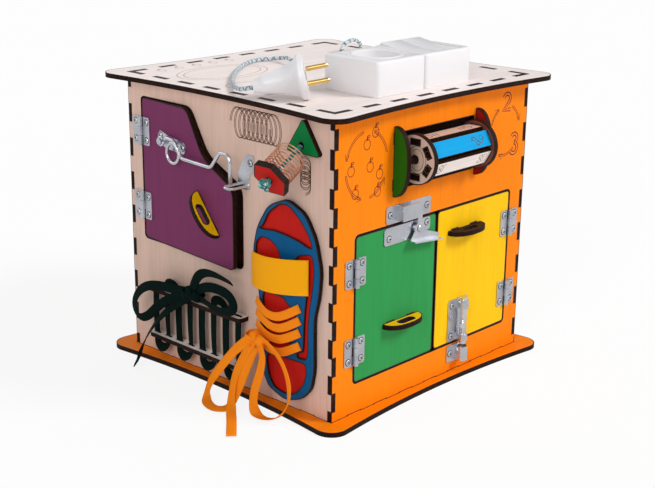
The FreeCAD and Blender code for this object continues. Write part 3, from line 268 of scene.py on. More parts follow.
def zinc(name, tone, roughness=0.27):
    finish = Finish(name, metallic=1)
    brushed = finish.noise((150, 150, 2600), 2)
    finish.coloured(finish.noise(70, 1), (0.3, srgb(tone - 10, tone - 8, tone)),
                    (0.7, srgb(tone + 10, tone + 12, tone + 18)))
    finish.surface("Roughness", finish.scaled(brushed, 0.12, roughness - 0.05))
    finish.bump(brushed, 0.05, 0.0001)
    return finish.material


def plastic(name, colour, roughness=0.28):
    finish = Finish(name)
    patches = finish.noise(35, 2)
    finish.coloured(patches, (0.3, shade(colour, 0.99)), (0.7, colour))
    finish.surface("Roughness", finish.scaled(patches, 0.04, roughness))
    finish.surface("Coat Weight", 0.15)
    finish.surface("Subsurface Weight", 0.05)
    finish.surface("Subsurface Radius", (0.002, 0.002, 0.002))
    finish.bump(finish.noise(900, 2), 0.03, 0.0001)
    return finish.material


def bright_metal(name, light, dark, roughness):
    finish = Finish(name, metallic=1)
    drawn = finish.noise(90, 1)
    finish.coloured(drawn, (0.1, dark), (0.6, light))
    finish.surface("Roughness", finish.scaled(drawn, 0.15, roughness))
    return finish.material


def braid(name, ground, ground_in_painted_shade, tracer):
    """Braid with a coloured and a dark tracer yarn; UV is millimetres and turns."""
    finish = Finish(name, 0.75)
    along, around = finish.parts_of_uv()
    twist = finish.math("MULTIPLY", around, math.tau * 6)
    run = finish.math("MULTIPLY", along, math.tau / 2.4)
    weave = finish.math("MULTIPLY", finish.math("SINE", finish.math("ADD", run, twist)),
                        finish.math("SINE", finish.math("SUBTRACT", run, twist)))
    over = finish.math("GREATER_THAN", weave, -0.35)

    def yarns(turning, pitch, share):
        line = finish.math(turning, finish.math("MULTIPLY", along, 1 / pitch), around)
        return finish.math("MULTIPLY", finish.math("LESS_THAN", finish.math("FRACT", line), share), over)

    # Painted shade: the ground yarn turns darker where the weave dips, in the hollows between the yarns.
    plain = finish.mix(finish.scaled(weave, 0.4, 0.5), ground_in_painted_shade, ground)
    traced = finish.mix(yarns("ADD", 9, 0.24), plain, tracer)
    finish.surface("Base Color", finish.mix(yarns("SUBTRACT", 7, 0.2), traced, srgb(30, 44, 66)))
    finish.surface("Sheen Weight", 0.25)
    finish.bump(weave, 0.6, 0.0003)
    return finish.material


def woven_lace(name, light, dark):
    """Flat lace: fine chevron ribs, with UV in millimetres along and across."""
    finish = Finish(name, 0.62)
    along, across = finish.parts_of_uv()
    middle = finish.math("ABSOLUTE", finish.math("SUBTRACT", across, LACE_WIDTH / 2))
    ribs = finish.wave(finish.scaled(middle, 0.55, along), 0.95)
    weave = finish.scaled(ribs, 0.6, finish.math("MULTIPLY", finish.wave(across, 1.1), 0.4))
    # Painted light and shade: the light colour lies on the crests of the ribs and the dark one in their
    # hollows.
    finish.coloured(finish.scaled(weave, 0.35, 0.5), (0.1, dark), (0.75, light))
    finish.surface("Specular IOR Level", 0.05)
    finish.bump(weave, 0.5, 0.00025)
    return finish.material


def webbing(name, light, dark):
    """Plain weave of the strap, with UV in millimetres."""
    finish = Finish(name, 0.72)
    along, across = finish.parts_of_uv()
    weave = finish.math("MULTIPLY", finish.wave(across, 1.1), finish.wave(along, 1.3))
    # Painted light and shade: the light colour lies on the crests of the weave and the dark one in its
    # hollows.
    finish.coloured(finish.scaled(weave, 0.3, 0.5), (0.1, dark), (0.8, light))
    finish.surface("Specular IOR Level", 0.15)
    finish.bump(weave, 0.4, 0.00025)
    return finish.material


def flat_ink(name, light, dark):
    """Burnt line that a laser leaves in the wood; the same flat dark finish also makes the painted shade
    marks on the metal.
    """
    finish = Finish(name, 0.8)
    soot_and_shade_mottle = finish.noise(650)
    finish.coloured(soot_and_shade_mottle, (0.35, dark), (0.7, light))
    finish.bump(soot_and_shade_mottle, 0.4, 0.0002)
    return finish.material


# Lines and meshes


def add_object(name, data):
    obj = bpy.data.objects.new(name, data)
    bpy.context.scene.collection.objects.link(obj)
    return obj


def settle(piece, slot_name, body="root", stands_for=None):
    """Gives a piece its body and hides the node that it stands for; the slot name is not used."""
    if stands_for:
        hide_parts(stands_for)
    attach(piece, body)
    return piece


@contextmanager
def editing(mesh):
    """The mesh as an editable shape, written back afterwards."""
    shape = bmesh.new()
    shape.from_mesh(mesh)
    yield shape
    shape.to_mesh(mesh)
    shape.free()


def creased(obj, degrees):
    obj.data.set_sharp_from_angle(angle=math.radians(degrees))
    return obj


def mesh_object(name, points, faces, material, uvs=None, smooth=True):
    mesh = bpy.data.meshes.new(name)
    mesh.from_pydata([tuple(point) for point in points], [], faces)
    if uvs:
        layer = mesh.uv_layers.new(name="UVMap")
        for polygon in mesh.polygons:
            for loop, uv in zip(polygon.loop_indices, uvs[polygon.index]):
                layer.data[loop].uv = uv
    mesh.materials.append(material)
    mesh.polygons.foreach_set("use_smooth", [smooth] * len(mesh.polygons))
    mesh.update()
    return add_object(name, mesh)


def smooth_line(route):
    """Points of the NURBS spline whose control points are the route, in metres."""
    curve = bpy.data.curves.new("line", "CURVE")
    curve.dimensions = "3D"
    spline = curve.splines.new("NURBS")
    spline.points.add(len(route) - 1)
    for point, place in zip(spline.points, route):
        point.co = (*place, 1)
    spline.order_u = 3
    spline.use_endpoint_u = True
    spline.resolution_u = 14
    carrier = add_object("line", curve)
    mesh = bpy.data.meshes.new_from_object(carrier)
    points = [vertex.co.copy() for vertex in mesh.vertices]
    bpy.data.objects.remove(carrier)
    bpy.data.meshes.remove(mesh)
    return points


def arc(centre, radii, start, end, steps=14):
    angles = [math.radians(start + (end - start) * step / steps) for step in range(steps + 1)]
    return [(centre[0] + radii[0] * math.cos(angle), centre[1] + radii[1] * math.sin(angle))
            for angle in angles]


def headings(points):
    return [(after - before).normalized()
            for before, after in zip(points[:1] + points[:-1], points[1:] + points[-1:])]


def lengths(points):
    total = [0]
    for before, after in zip(points, points[1:]):
        total.append(total[-1] + (after - before).length)
    return total


def above_floor(point):
    """Presses whatever hangs lower than the floor flat on it."""
    resting = 1.4 * MM
    if point.z < resting:
        point.z = resting - (resting - point.z) * 0.15
    return point


def skin(rings, count):
    """Faces between rings of that many points, and over both ends."""
    faces = [(low + side, low + (side + 1) % count, low + count + (side + 1) % count, low + count + side)
             for low in range(0, (rings - 1) * count, count) for side in range(count)]
    last = (rings - 1) * count
    return faces + [tuple(reversed(range(count))), tuple(range(last, last + count))]


def sweep(name, points, outline, sides_of, material, girth):
    """Skin along a line: the outline lies in the plane of each point's two side vectors."""
    count = len(outline)
    run = [distance / MM for distance in lengths(points)]
    vertices = [above_floor(point + first * across + second * up)
                for point, (first, second) in zip(points, sides_of) for across, up in outline]
    marks = lengths([Vector(corner) for corner in outline + outline[:1]])
    marks = [mark * girth / marks[-1] for mark in marks]
    uvs = [[(here, mark), (here, onward), (after, onward), (after, mark)]
           for here, after in zip(run, run[1:]) for mark, onward in zip(marks, marks[1:])]
    uvs += [[(0, 0)] * count] * 2
    return mesh_object(name, vertices, skin(len(points), count), material, uvs)


def tube(name, points, radius, material, sides=14):
    """Round skin along a line, with side vectors that never spin about it."""
    ways = headings(points)
    side = ways[0].orthogonal().normalized()
    pairs = []
    for way in ways:
        side = (side - way * side.dot(way)).normalized()
        pairs.append((side, way.cross(side)))
    outline = arc((0, 0), (radius, radius), 0, 360, sides)[:-1]
    return sweep(name, points, outline, pairs, material, 1)


LACE_WIDTH = 8.5
LACE_THICKNESS = 1.2


def lace_outline(width=LACE_WIDTH, thickness=LACE_THICKNESS):
    """Flat section with soft edges, a little thinner in its middle."""
    outline = []
    steps = 14
    for step in range(steps):
        angle = math.tau * step / steps
        across = math.copysign(abs(math.cos(angle)) ** 0.75, math.cos(angle))
        dip = 1 - 0.18 * math.cos(angle * 2 + math.pi) ** 2
        outline.append((across * width / 2 * MM, math.sin(angle) * thickness / 2 * MM * dip))
    return outline


def ribbon(name, points, faces_out, material, twist=(0, 0), width=LACE_WIDTH):
    """Flat lace along a line. Its flat side looks along faces_out, or up where it nears the floor."""
    ways = headings(points)
    run = lengths(points)
    pairs = []
    across = None
    for point, way, distance in zip(points, ways, run):
        held = min(1, max(0, (point.z / MM - 4) / 22))
        wanted = way.cross(faces_out * held + Vector(UP) * (1 - held))
        if across is not None:
            carried = across - way * across.dot(way)
            wanted = carried.normalized() * 0.85 + wanted * 0.15
        across = (wanted - way * wanted.dot(way)).normalized()
        turn = twist[0] + (twist[1] - twist[0]) * distance / run[-1]
        spun = Matrix.Rotation(math.radians(turn), 3, way) @ across
        pairs.append((spun, way.cross(spun)))
    return sweep(name, points, lace_outline(width), pairs, material, 2 * width)


def joined(name, pieces):
    """One object from several, each in place."""
    mesh = bpy.data.meshes.new(name)
    material = pieces[0].data.materials[0]
    combined = bmesh.new()
    for piece in pieces:
        piece.data.transform(piece.matrix_world)
        combined.from_mesh(piece.data)
    combined.to_mesh(mesh)
    combined.free()
    for piece in pieces:
        bpy.data.objects.remove(piece)
    mesh.materials.append(material)
    return add_object(name, mesh)


def applied(obj):
    """The object's mesh with its modifiers worked in."""
    bpy.context.view_layer.update()
    seen = obj.evaluated_get(bpy.context.evaluated_depsgraph_get())
    mesh = bpy.data.meshes.new_from_object(seen)
    obj.modifiers.clear()
    obj.data = mesh
    return obj


def moulded(node, name, width, body="root", angle=35):
    """A white copy of a CAD node whose sharp edges are rounded a little."""
    copy = nodes[node].data.copy()
    with editing(copy) as shape:
        bmesh.ops.remove_doubles(shape, verts=shape.verts, dist=1e-6)
        bmesh.ops.dissolve_limit(shape, angle_limit=math.radians(1), verts=shape.verts, edges=shape.edges)
    copy.materials.clear()
    copy.materials.append(WHITE)
    obj = add_object(name, copy)
    bevel = obj.modifiers.new("edges", "BEVEL")
    bevel.width = width * MM
    bevel.segments = 3
    bevel.limit_method = "ANGLE"
    bevel.angle_limit = math.radians(angle)
    bevel.harden_normals = False
    applied(obj)
    obj.data.polygons.foreach_set("use_smooth", [True] * len(obj.data.polygons))
    return settle(creased(obj, 38), "white_plastic", body, node)


def turned(name, profile, origin, axis, material, steps=32):
    """A lathe-turned piece: the profile gives heights along the axis and radii, in millimetres."""
    axis = Vector(axis).normalized()
    side = axis.orthogonal().normalized()
    other = axis.cross(side)
    circle = [side * x + other * y for x, y in arc((0, 0), (1, 1), 0, 360, steps)[:-1]]
    vertices = [Vector(origin) + (axis * height + flat * radius) * MM
                for height, radius in profile for flat in circle]
    return creased(mesh_object(name, vertices, skin(len(profile), steps), material), 40)


# Materials

NATURAL = srgb(222, 190, 174)
ORANGE = srgb(255, 134, 4)
GREEN = srgb(48, 150, 78)
YELLOW = srgb(252, 196, 8)
PURPLE = srgb(122, 52, 94)
RED = srgb(196, 24, 14)
BLUE = srgb(0, 88, 140)
SKY = srgb(0, 160, 222)
DARK_RED = srgb(44, 8, 20)
LEAF = srgb(30, 100, 12)
PALE = srgb(250, 238, 234)
ZINC = zinc("zinc_sheet", 212)
SCREW_ZINC = zinc("zinc_screw", 222, 0.24)
WHITE = plastic("white_plastic", srgb(240, 238, 240))
BRASS = bright_metal("brass", srgb(232, 196, 120), srgb(214, 172, 96), 0.2)
COPPER = bright_metal("spring_wire", srgb(236, 178, 144), srgb(196, 126, 92), 0.24)
# The second colour of each braid is its ground yarn in painted shade.
BRAID = braid("white_braid", srgb(240, 244, 247), srgb(186, 200, 208), srgb(28, 140, 165))
TEAL_BRAID = braid("teal_braid", srgb(58, 186, 180), srgb(20, 120, 120), srgb(190, 226, 220))
# Each lace's two colours are its lit and its shaded tone, painted over the ribs as light and shade.
ORANGE_LACE = woven_lace("orange_lace", srgb(255, 158, 34), srgb(255, 112, 4))
GREEN_LACE = woven_lace("green_lace", srgb(0, 27, 22), srgb(0, 8, 7))
# The strap's two colours are its lit and its shaded tone.
STRAP_WEAVE = webbing("strap_weave", srgb(255, 186, 2), srgb(252, 150, 0))
INK = flat_ink("burnt_line", srgb(112, 74, 50), srgb(74, 44, 26))
# Painted shade: dark grey marks in the screw recesses, round the screw heads and beside the hinge knuckles,
# where shade falls on the zinc.
PAINTED_SHADE = flat_ink("painted_shade", srgb(58, 58, 62), srgb(30, 30, 34))
RED_INK = flat_ink("burnt_line_on_orange", srgb(160, 48, 4), srgb(112, 26, 4))
ORANGE_FILL = flat_ink("stain_in_outlines", ORANGE, shade(ORANGE, 0.9))
CHAR = flat_ink("charred_edge", BURNT_LIGHT, BURNT)
PALE_INK = flat_ink("faint_line", srgb(214, 190, 168), srgb(190, 160, 134))
METALS = {"fixed_hinge_leaves": ZINC, "hinge_pins": ZINC, "green_hinge_leaves": ZINC,
          "yellow_hinge_leaves": ZINC, "purple_hinge_leaves": ZINC, "latch_keeper": ZINC,
          "latch_plate": ZINC, "latch_lever": SCREW_ZINC, "bolt_keeper": ZINC, "bolt_plate": ZINC,
          "bolt_rod": SCREW_ZINC, "hook_plate": ZINC, "hook_staple": ZINC, "plug_pins": BRASS}


def dress(node, material):
    data = nodes[node].data
    data.materials.clear()
    data.materials.append(material)


def dress_solids():
    """Every plywood node gets its stain, with grain one way and edges burnt another."""
    along_handle, across_handle = handle_ways()
    rows = [
        ("front_panel", ORANGE, ALONG_Y, UP), ("back_panel", NATURAL, ALONG_Y, UP),
        ("left_panel", NATURAL, ALONG_X, UP), ("right_panel", NATURAL, ALONG_X, UP),
        ("base_plate", ORANGE, UP, ALONG_X), ("top_plate", PALE, UP, ALONG_X),
        ("green_door", GREEN, ALONG_Y, UP), ("yellow_door", YELLOW, ALONG_Y, UP),
        ("purple_door", PURPLE, outward(purple), UP),
        ("green_handle", YELLOW, UP, ALONG_X), ("yellow_handle", DARK_RED, UP, ALONG_X),
        ("purple_handle", YELLOW, across_handle, along_handle),
        ("drum_bracket_left", LEAF, ALONG_X, UP), ("drum_bracket_right", srgb(158, 24, 16), ALONG_X, UP),
        # The right drum disc is a darker copy of the natural stain: painted shade for the inside of the drum.
        ("drum_disc_left", NATURAL, ALONG_X, UP), ("drum_disc_right", srgb(120, 70, 60), ALONG_X, UP),
        ("toy_triangle", srgb(0, 128, 62), ALONG_X, UP), ("toy_hexagon", RED, outward(toy), ALONG_Y),
        ("shoe_sole", BLUE, ALONG_X, UP), ("shoe_inlays", RED, ALONG_X, UP),
        ("lacing_rails", PALE, UP, ALONG_Y), ("drum_axle", LEAF, ALONG_X, UP),
    ]
    for index, colour in enumerate((SKY, NATURAL, NATURAL, ORANGE, NATURAL, PALE)):
        rows.append(("drum_slat_%d" % (index + 1), colour, slat_way(index), ALONG_X))
    for node, colour, across, along in rows:
        dress(node, plywood("wood_" + node, colour, across, along))
    for node, material in METALS.items():
        dress(node, material)


# Camera, floor and light


def place_camera():
    """Camera fitted to the corners of the cube in the photograph."""
    azimuth, elevation, roll = (math.radians(value) for value in (-46.558, 17.541, 0.622))
    focal_pixels, image_width, sensor = 1296.6, 655, 36
    back = Vector((math.sin(azimuth) * math.cos(elevation), -math.cos(azimuth) * math.cos(elevation),
                   math.sin(elevation)))
    right = (-back).cross(Vector(UP)).normalized()
    upper = right.cross(-back)
    tilted_right = right * math.cos(roll) + upper * math.sin(roll)
    tilted_up = upper * math.cos(roll) - right * math.sin(roll)
    turn = Matrix((tilted_right, tilted_up, back)).transposed()
    data = bpy.data.cameras.new("camera")
    data.sensor_width = sensor
    data.lens = focal_pixels * sensor / image_width
    data.clip_start = 0.05
    camera = add_object("camera", data)
    camera.matrix_world = Matrix.Translation(Vector((-822.7, -779.5, 458.1)) * MM) @ turn.to_4x4()
    bpy.context.scene.camera = camera


def sun(name, source, strength, angle):
    data = bpy.data.lights.new(name, "SUN")
    data.energy = strength
    data.angle = math.radians(angle)
    lamp = add_object(name, data)
    lamp.rotation_euler = Vector(source).to_track_quat("Z", "Y").to_euler()


def build_stage():
    finish = Finish("floor", 0.9)
    finish.coloured(finish.noise(3), (0.3, srgb(250, 250, 250)), (0.7, srgb(253, 253, 253)))
    seen = finish.seen_as(finish.shader.outputs[0], "Is Camera Ray", 1, 0.86)
    seen = finish.seen_as(seen, "Is Glossy Ray", 0.62, 0.9)
    finish.set(finish.tree.nodes["Material Output"].inputs["Surface"], seen)
    reach = 6
    corners = [(-reach, -reach, 0), (reach, -reach, 0), (reach, reach, 0), (-reach, reach, 0)]
    mesh_object("floor", corners, [(0, 1, 2, 3)], finish.material, smooth=False)

    world = bpy.data.worlds.new("studio")
    bpy.context.scene.world = world
    studio = Finish("studio", owner=world)
    background = studio.tree.nodes["Background"]
    studio.set(background.inputs["Color"], (1, 1, 1, 1))
    studio.set(background.inputs["Strength"], 0.42)
    cards = studio.ramp(studio.noise((1, 1, 1.6), 1, source="Generated", fineness=1.7),
                        (0.4, (0.10, 0.10, 0.11, 1)), (0.5, (0.6, 0.6, 0.62, 1)),
                        (0.6, (1.25, 1.25, 1.25, 1)))
    seen = studio.blended(studio.node("LightPath", "Is Glossy Ray"), background.outputs[0],
                          studio.node("Emission", Color=cards))
    studio.set(studio.tree.nodes["World Output"].inputs["Surface"],
               studio.seen_as(seen, "Is Camera Ray", 1, 1))
    bpy.context.scene.view_settings.view_transform = "Standard"
    sun("key_light", (0.42, -0.68, 0.66), 1.9, 18)
    sun("fill_light", (-0.85, -0.35, 0.45), 0.85, 30)


# Cords: the plug's lead, its plug, and the toy's cord

CORD_ROUTE = [(-131, -42, 267.4), (-133, -34, 265.6), (-127, -20, 262.6), (-112, 2, 260.6), (-88, 30, 260),
              (-58, 56.5, 260), (-32.6, 74.9, 260), (-8.9, 84.9, 260), (4.5, 77.8, 260.4), (8, 66, 262.2),
              (3.4, 55, 264), (3, 45.6, 262), (3, 45, 252), (9, 46, 245), (28, 49.5, 242), (52, 54.5, 242.5),
              (72, 58.5, 245), (79, 60, 252), (79.4, 60, 262), (86, 61.3, 268), (98, 63.2, 270),
              (109, 64.8, 267.5), (115.6, 66, 261), (116, 66, 246)]
CORD_RADIUS = 1.8
PLUG_REAR = Vector((-131, -42, 268.2)) * MM
PLUG_TURN = (Matrix.Rotation(math.radians(-46.5), 3, "Z") @ Matrix.Rotation(math.radians(-11.6), 3, "Y")
             @ Matrix.Rotation(math.radians(28), 3, "X"))


def trefoil(place, scale, steps=90):
    """Points of a simple overhand knot about the origin of a place."""
    return [place(scale * (math.sin(angle) + 2 * math.sin(2 * angle)) / 3,
                  scale * (math.cos(angle) - 2 * math.cos(2 * angle)) / 3,
                  -scale * math.sin(3 * angle) / 2.4)
            for angle in [math.tau * step / steps for step in range(steps + 1)]]


def in_plug(x, y, z):
    return PLUG_REAR + PLUG_TURN @ (Vector((x, y, z)) * MM)


def build_plug():
    plug = moulded("plug", "plug_shell", 0.7)
    axis = PLUG_TURN @ Vector(ALONG_X)
    screw = screw_head("plug_screw", in_plug(22, 8.5, 0), PLUG_TURN @ Vector(ALONG_Y), 2, 0.7, 20)
    settle(screw, "screw_steel")
    face = [(41.9, 16.6), (42.35, 16.4), (42.4, 13), (42, 12.6)]
    collar = [(41.9, 3.2), (42.9, 2.9), (43, 2.2), (42, 2.1)]
    trims = [turned("plug_face", face, PLUG_REAR, axis, WHITE)]
    trims += [turned("plug_collar_%d" % index, collar, in_plug(0, side * 9.5, 0), axis, WHITE, 20)
              for index, side in enumerate((-1, 1))]
    for trim in trims:
        settle(trim, "white_plastic")
    points = smooth_line([Vector(place) * MM for place in reversed(CORD_ROUTE)])
    lead = settle(tube("plug_lead", points, CORD_RADIUS * MM, BRAID), "braided_cord", "root", "plug_cord")
    end = Vector(CORD_ROUTE[-1]) * MM

    def below(x, y, z):
        return end + Vector((x, y, z - 3.4)) * MM

    knot = settle(tube("lead_knot", trefoil(below, 2.4), CORD_RADIUS * 0.9 * MM, BRAID, 12), "braided_cord")
    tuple(points[0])


# Screws with a cross recess


def bar(size, turn, height):
    """A small block, turned about the vertical and lifted."""
    mesh = bpy.data.meshes.new("bar")
    with editing(mesh) as shape:
        bmesh.ops.create_cube(shape, size=1)
        bmesh.ops.scale(shape, verts=shape.verts, vec=Vector(size) * MM)
    mesh.transform(Matrix.Translation((0, 0, height * MM)) @ Matrix.Rotation(math.radians(turn), 4, "Z"))
    return mesh


@functools.cache
def screw_template(radius, height):
    """Pan head with a cross cut in it, at the origin and looking up."""
    profile = [(-0.3, radius), (height * 0.3, radius), (height * 0.72, radius * 0.86),
               (height * 0.95, radius * 0.5), (height, radius * 0.15)]
    head = turned("screw_template", profile, (0, 0, 0), UP, SCREW_ZINC, 24)
    for turn in (0, 90):
        cutter = add_object("recess", bar((radius * 1.25, radius * 0.27, height * 0.9), turn, height * 0.95))
        cut = head.modifiers.new("cross", "BOOLEAN")
        cut.operation = "DIFFERENCE"
        cut.object = cutter
        cut.solver = "EXACT"
        applied(head)
        bpy.data.objects.remove(cutter)
    data = head.data
    bpy.data.objects.remove(head)
    return data


def seat(place, axis, turn):
    """Turns what looks up along the axis and puts it at its place."""
    upright = Vector(axis).normalized().to_track_quat("Z", "Y").to_matrix().to_4x4()
    return Matrix.Translation(place) @ upright @ Matrix.Rotation(math.radians(turn), 4, "Z")


def screw_head(name, place, axis, radius, height, turn):
    mesh = screw_template(radius, height).copy()
    mesh.transform(seat(place, axis, turn))
    mesh.materials.clear()
    mesh.materials.append(SCREW_ZINC)
    return add_object(name, mesh)


def cross_mark(place, axis, radius, height, turn):
    """Dark cross of painted shade that fills a screw's recess."""
    bars = []
    for quarter in (0, 90):
        mesh = bar((radius * 1.15, radius * 0.26, 0.2), quarter, height * 0.92)
        mesh.transform(seat(place, axis, turn))
        mesh.materials.append(PAINTED_SHADE)
        bars.append(add_object("cross", mesh))
    return bars


def welded(node):
    """A copy of a CAD node's mesh with its corners joined."""
    shape = bmesh.new()
    shape.from_mesh(nodes[node].data)
    bmesh.ops.remove_doubles(shape, verts=shape.verts, dist=1e-6)
    return shape


def loose_pieces(node):
    """Corners of each separate solid in a CAD node."""
    shape = welded(node)
    unseen = set(shape.verts)
    groups = []
    while unseen:
        stack = [unseen.pop()]
        group = []
        while stack:
            vertex = stack.pop()
            group.append(vertex.co.copy())
            for edge in vertex.link_edges:
                other = edge.other_vert(vertex)
                if other in unseen:
                    unseen.remove(other)
                    stack.append(other)
        groups.append(group)
    shape.free()
    return groups


def build_screws():
    """Each screw of the CAD gives its place; its head gets a dome and a cross, with a dark cross of painted
    shade in the recess and a ring of painted shade round the head.
    """
    chance = random.Random(7)
    radius, height = 2.6, 1.1
    ring = [(-0.1, radius + 0.55), (0.12, radius + 0.5)]
    for node, body, faces in (("panel_screws", "root", (front, left)),
                              ("green_door_screws", "green_door", (front,)),
                              ("yellow_door_screws", "yellow_door", (front,)),
                              ("purple_door_screws", "purple_door", (purple,))):
        heads = []
        shades = []
        for group in sorted(loose_pieces(node), key=lambda corners: tuple(corners[0])):
            spans = []
            for axis in map(outward, faces):
                reach = [point.dot(axis) for point in group]
                spans.append((max(reach) - min(reach), max(reach), axis))
            outer, axis = max(spans, key=lambda span: span[0])[1:]
            centre = sum(group, Vector()) / len(group)
            place = centre + axis * (outer - centre.dot(axis) - height * MM)
            turn = chance.uniform(0, 90)
            heads.append(screw_head("head", place, axis, radius, height, turn))
            shades += cross_mark(place, axis, radius, height, turn)
            # Painted shade: a dark ring round the head, where it meets the plate.
            shades.append(turned("ring", ring, place, axis, PAINTED_SHADE, 20))
        settle(joined(node + "_painted_shade_rings", shades), "screw_steel", body)
        settle(creased(joined("detailed_" + node, heads), 35), "screw_steel", body, node)


# Socket and switch


def build_mouldings():
    middle = (-28, -78)
    moulded("wall_socket", "socket_shell", 0.8)
    ring = turned("socket_ring", [(28.7, 23.5), (29.35, 23.2), (29.6, 22), (29.5, 20.2), (28.9, 19.5),
                                  (26, 19.4), (20, 19.2), (16.2, 19.1)], top(*middle), UP, WHITE, 64)
    with editing(ring.data) as bore:
        caps = [face for face in bore.faces if len(face.verts) > 4]
        bmesh.ops.delete(bore, geom=caps, context="FACES_ONLY")
    settle(ring, "white_plastic")
    settle(screw_head("socket_screw", top(*middle, 16), UP, 3.2, 1.2, 30), "screw_steel")
    moulded("switch_housing", "switch_shell", 0.8)
    for side in ("left", "right"):
        moulded("switch_rocker_" + side, "rocker_" + side, 0.7, "rocker_" + side, 12)


# Spring toy


def build_toy():
    radius, wire, start, length, turns, travel = 12.6, 0.55, 11, 23, 8, 10
    steps = 40 * turns
    circle = arc((0, 0), (radius, radius), 0, 360 * turns, steps)
    points = [toy(x, y, start + length * step / steps) for step, (x, y) in enumerate(circle)]
    spring = tube("spring_coil", points, wire * MM, COPPER, 10)
    settle(spring, "copper_wire", "toy_swing", "toy_spring")
    outward(toy)
    toy(0, 0, start)
    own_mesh(spring)
    line = [toy(0, 0, 0.3)] + [toy(0, 0, 2.2 * step) for step in range(1, 21)]

    def at_knot(x, y, z):
        return toy(x, y, z + 46)

    pieces = [tube("toy_string", line, CORD_RADIUS * MM, TEAL_BRAID),
              tube("toy_knot", trefoil(at_knot, 3.9), CORD_RADIUS * MM, TEAL_BRAID, 12)]
    settle(joined("toy_string_and_knot", pieces), "teal_cord", "toy_swing", "toy_cord")


# Cut plates and the charred outlines a laser leaves


def cut_plate(name, outer, holes, place, low, high, material):
    """Flat plate between two levels, from its outline and the outlines of its holes."""
    loops = [outer, *holes]
    corners = [point for loop in loops for point in loop]
    vertices = [place(x, y, level) for level in (high, low) for x, y in corners]
    count = len(corners)
    faces = []
    for triangle in tessellate_polygon([[Vector((x, y, 0)) for x, y in loop] for loop in loops]):
        faces += [tuple(triangle), tuple(corner + count for corner in reversed(triangle))]
    start = 0
    for loop in loops:
        for index in range(len(loop)):
            here, after = start + index, start + (index + 1) % len(loop)
            faces.append((here, here + count, after + count, after))
        start += len(loop)
    plate = mesh_object(name, vertices, faces, material)
    with editing(plate.data) as shape:
        bmesh.ops.recalc_face_normals(shape, faces=shape.faces)
    return creased(plate, 35)


def blunt_moon(chord, reach, tab_spacing, tab=8, power=2.3, steps=40):
    """Half of a rounded oval over its chord, and the two tabs that go through the sheet behind it."""
    rim = []
    for step in range(steps + 1):
        angle = math.pi * step / steps
        across = math.copysign(abs(math.cos(angle)) ** (2 / power), math.cos(angle))
        rim.append((across * chord / 2, reach * math.sin(angle) ** (2 / power)))
    tabs = [(middle + side, level) for middle in (-tab_spacing / 2, tab_spacing / 2)
            for side, level in ((-tab / 2, 0), (-tab / 2, -PLY), (tab / 2, -PLY), (tab / 2, 0))]
    return rim, tabs


def stadium(length, width, middle):
    """Slot with round ends."""
    half, radii = (length - width) / 2, (width / 2, width / 2)
    return arc((half, middle), radii, -90, 90, 12) + arc((-half, middle), radii, 90, 270, 12)


def closed_line(route, steps=6):
    """Closed smooth outline that passes near every corner of the route."""
    points = []
    for before, corner, after in zip(route[-1:] + route, route, route[1:] + route[:1]):
        before, corner, after = Vector(before), Vector(corner), Vector(after)
        start = (before + corner * 2) / 3
        end = (corner * 2 + after) / 3
        for share in [step / steps for step in range(steps)]:
            points.append(tuple(start.lerp(corner, share).lerp(corner.lerp(end, share), share)))
    return points


def face_outlines(node, axis):
    """Closed outlines of a node's outermost flat face that looks along the axis."""
    shape = welded(node)
    shape.normal_update()
    shape.verts.index_update()
    places = [vertex.co.copy() for vertex in shape.verts]
    level = max(place.dot(axis) for place in places)
    directed = set()
    for face in shape.faces:
        if face.normal.dot(axis) > 0.999 and level - face.calc_center_median().dot(axis) < 0.1 * MM:
            directed.update((loop.vert.index, loop.link_loop_next.vert.index) for loop in face.loops)
    shape.free()
    onward = {start: end for start, end in directed if (end, start) not in directed}
    outlines = []
    while onward:
        start, end = onward.popitem()
        outline = [places[start]]
        while end in onward:
            outline.append(places[end])
            end = onward.pop(end)
        outlines.append(outline)
    return outlines


def charred(name, outlines, axis, width, body, slot_name):
    """Dark strip just inside each outline of a flat face."""
    vertices = []
    faces = []
    raised = axis * 0.04 * MM
    for outline in outlines:
        base = len(vertices)
        count = len(outline)
        for index, point in enumerate(outline):
            before = (point - outline[index - 1]).normalized()
            onward = (outline[(index + 1) % count] - point).normalized()
            first, second = axis.cross(before), axis.cross(onward)
            inner = point + (first + second) / max(0.5, 1 + first.dot(second)) * width * MM
            vertices += [point + raised, inner + raised, point - raised, inner - raised]
            low = base + index * 4
            high = base + (index + 1) % count * 4
            faces += [(low, high, high + 1, low + 1), (low + 2, low + 3, high + 3, high + 2),
                      (low, low + 2, high + 2, high), (low + 1, high + 1, high + 3, low + 3)]
    settle(mesh_object(name, vertices, faces, CHAR, smooth=False), slot_name, body)


def charred_plate(name, outer, holes, place, level, width, body, slot_name):
    """The same strip for a plate made here from its outlines."""
    turned_right = rightward(place).cross(upward(place)).dot(outward(place)) > 0
    outlines = []
    for loop, is_outer in [(outer, True)] + [(hole, False) for hole in holes]:
        area = sum(a[0] * b[1] - b[0] * a[1] for a, b in zip(loop, loop[1:] + loop[:1]))
        onward = 1 if (area > 0) == (is_outer == turned_right) else -1
        outlines.append([place(x, y, level) for x, y in loop[::onward]])
    charred(name, outlines, outward(place), width, body, slot_name)


def slot_of(node):
    return next(part["material_slot"] for part in frame["record"]["subparts"] if part["node"] == node)


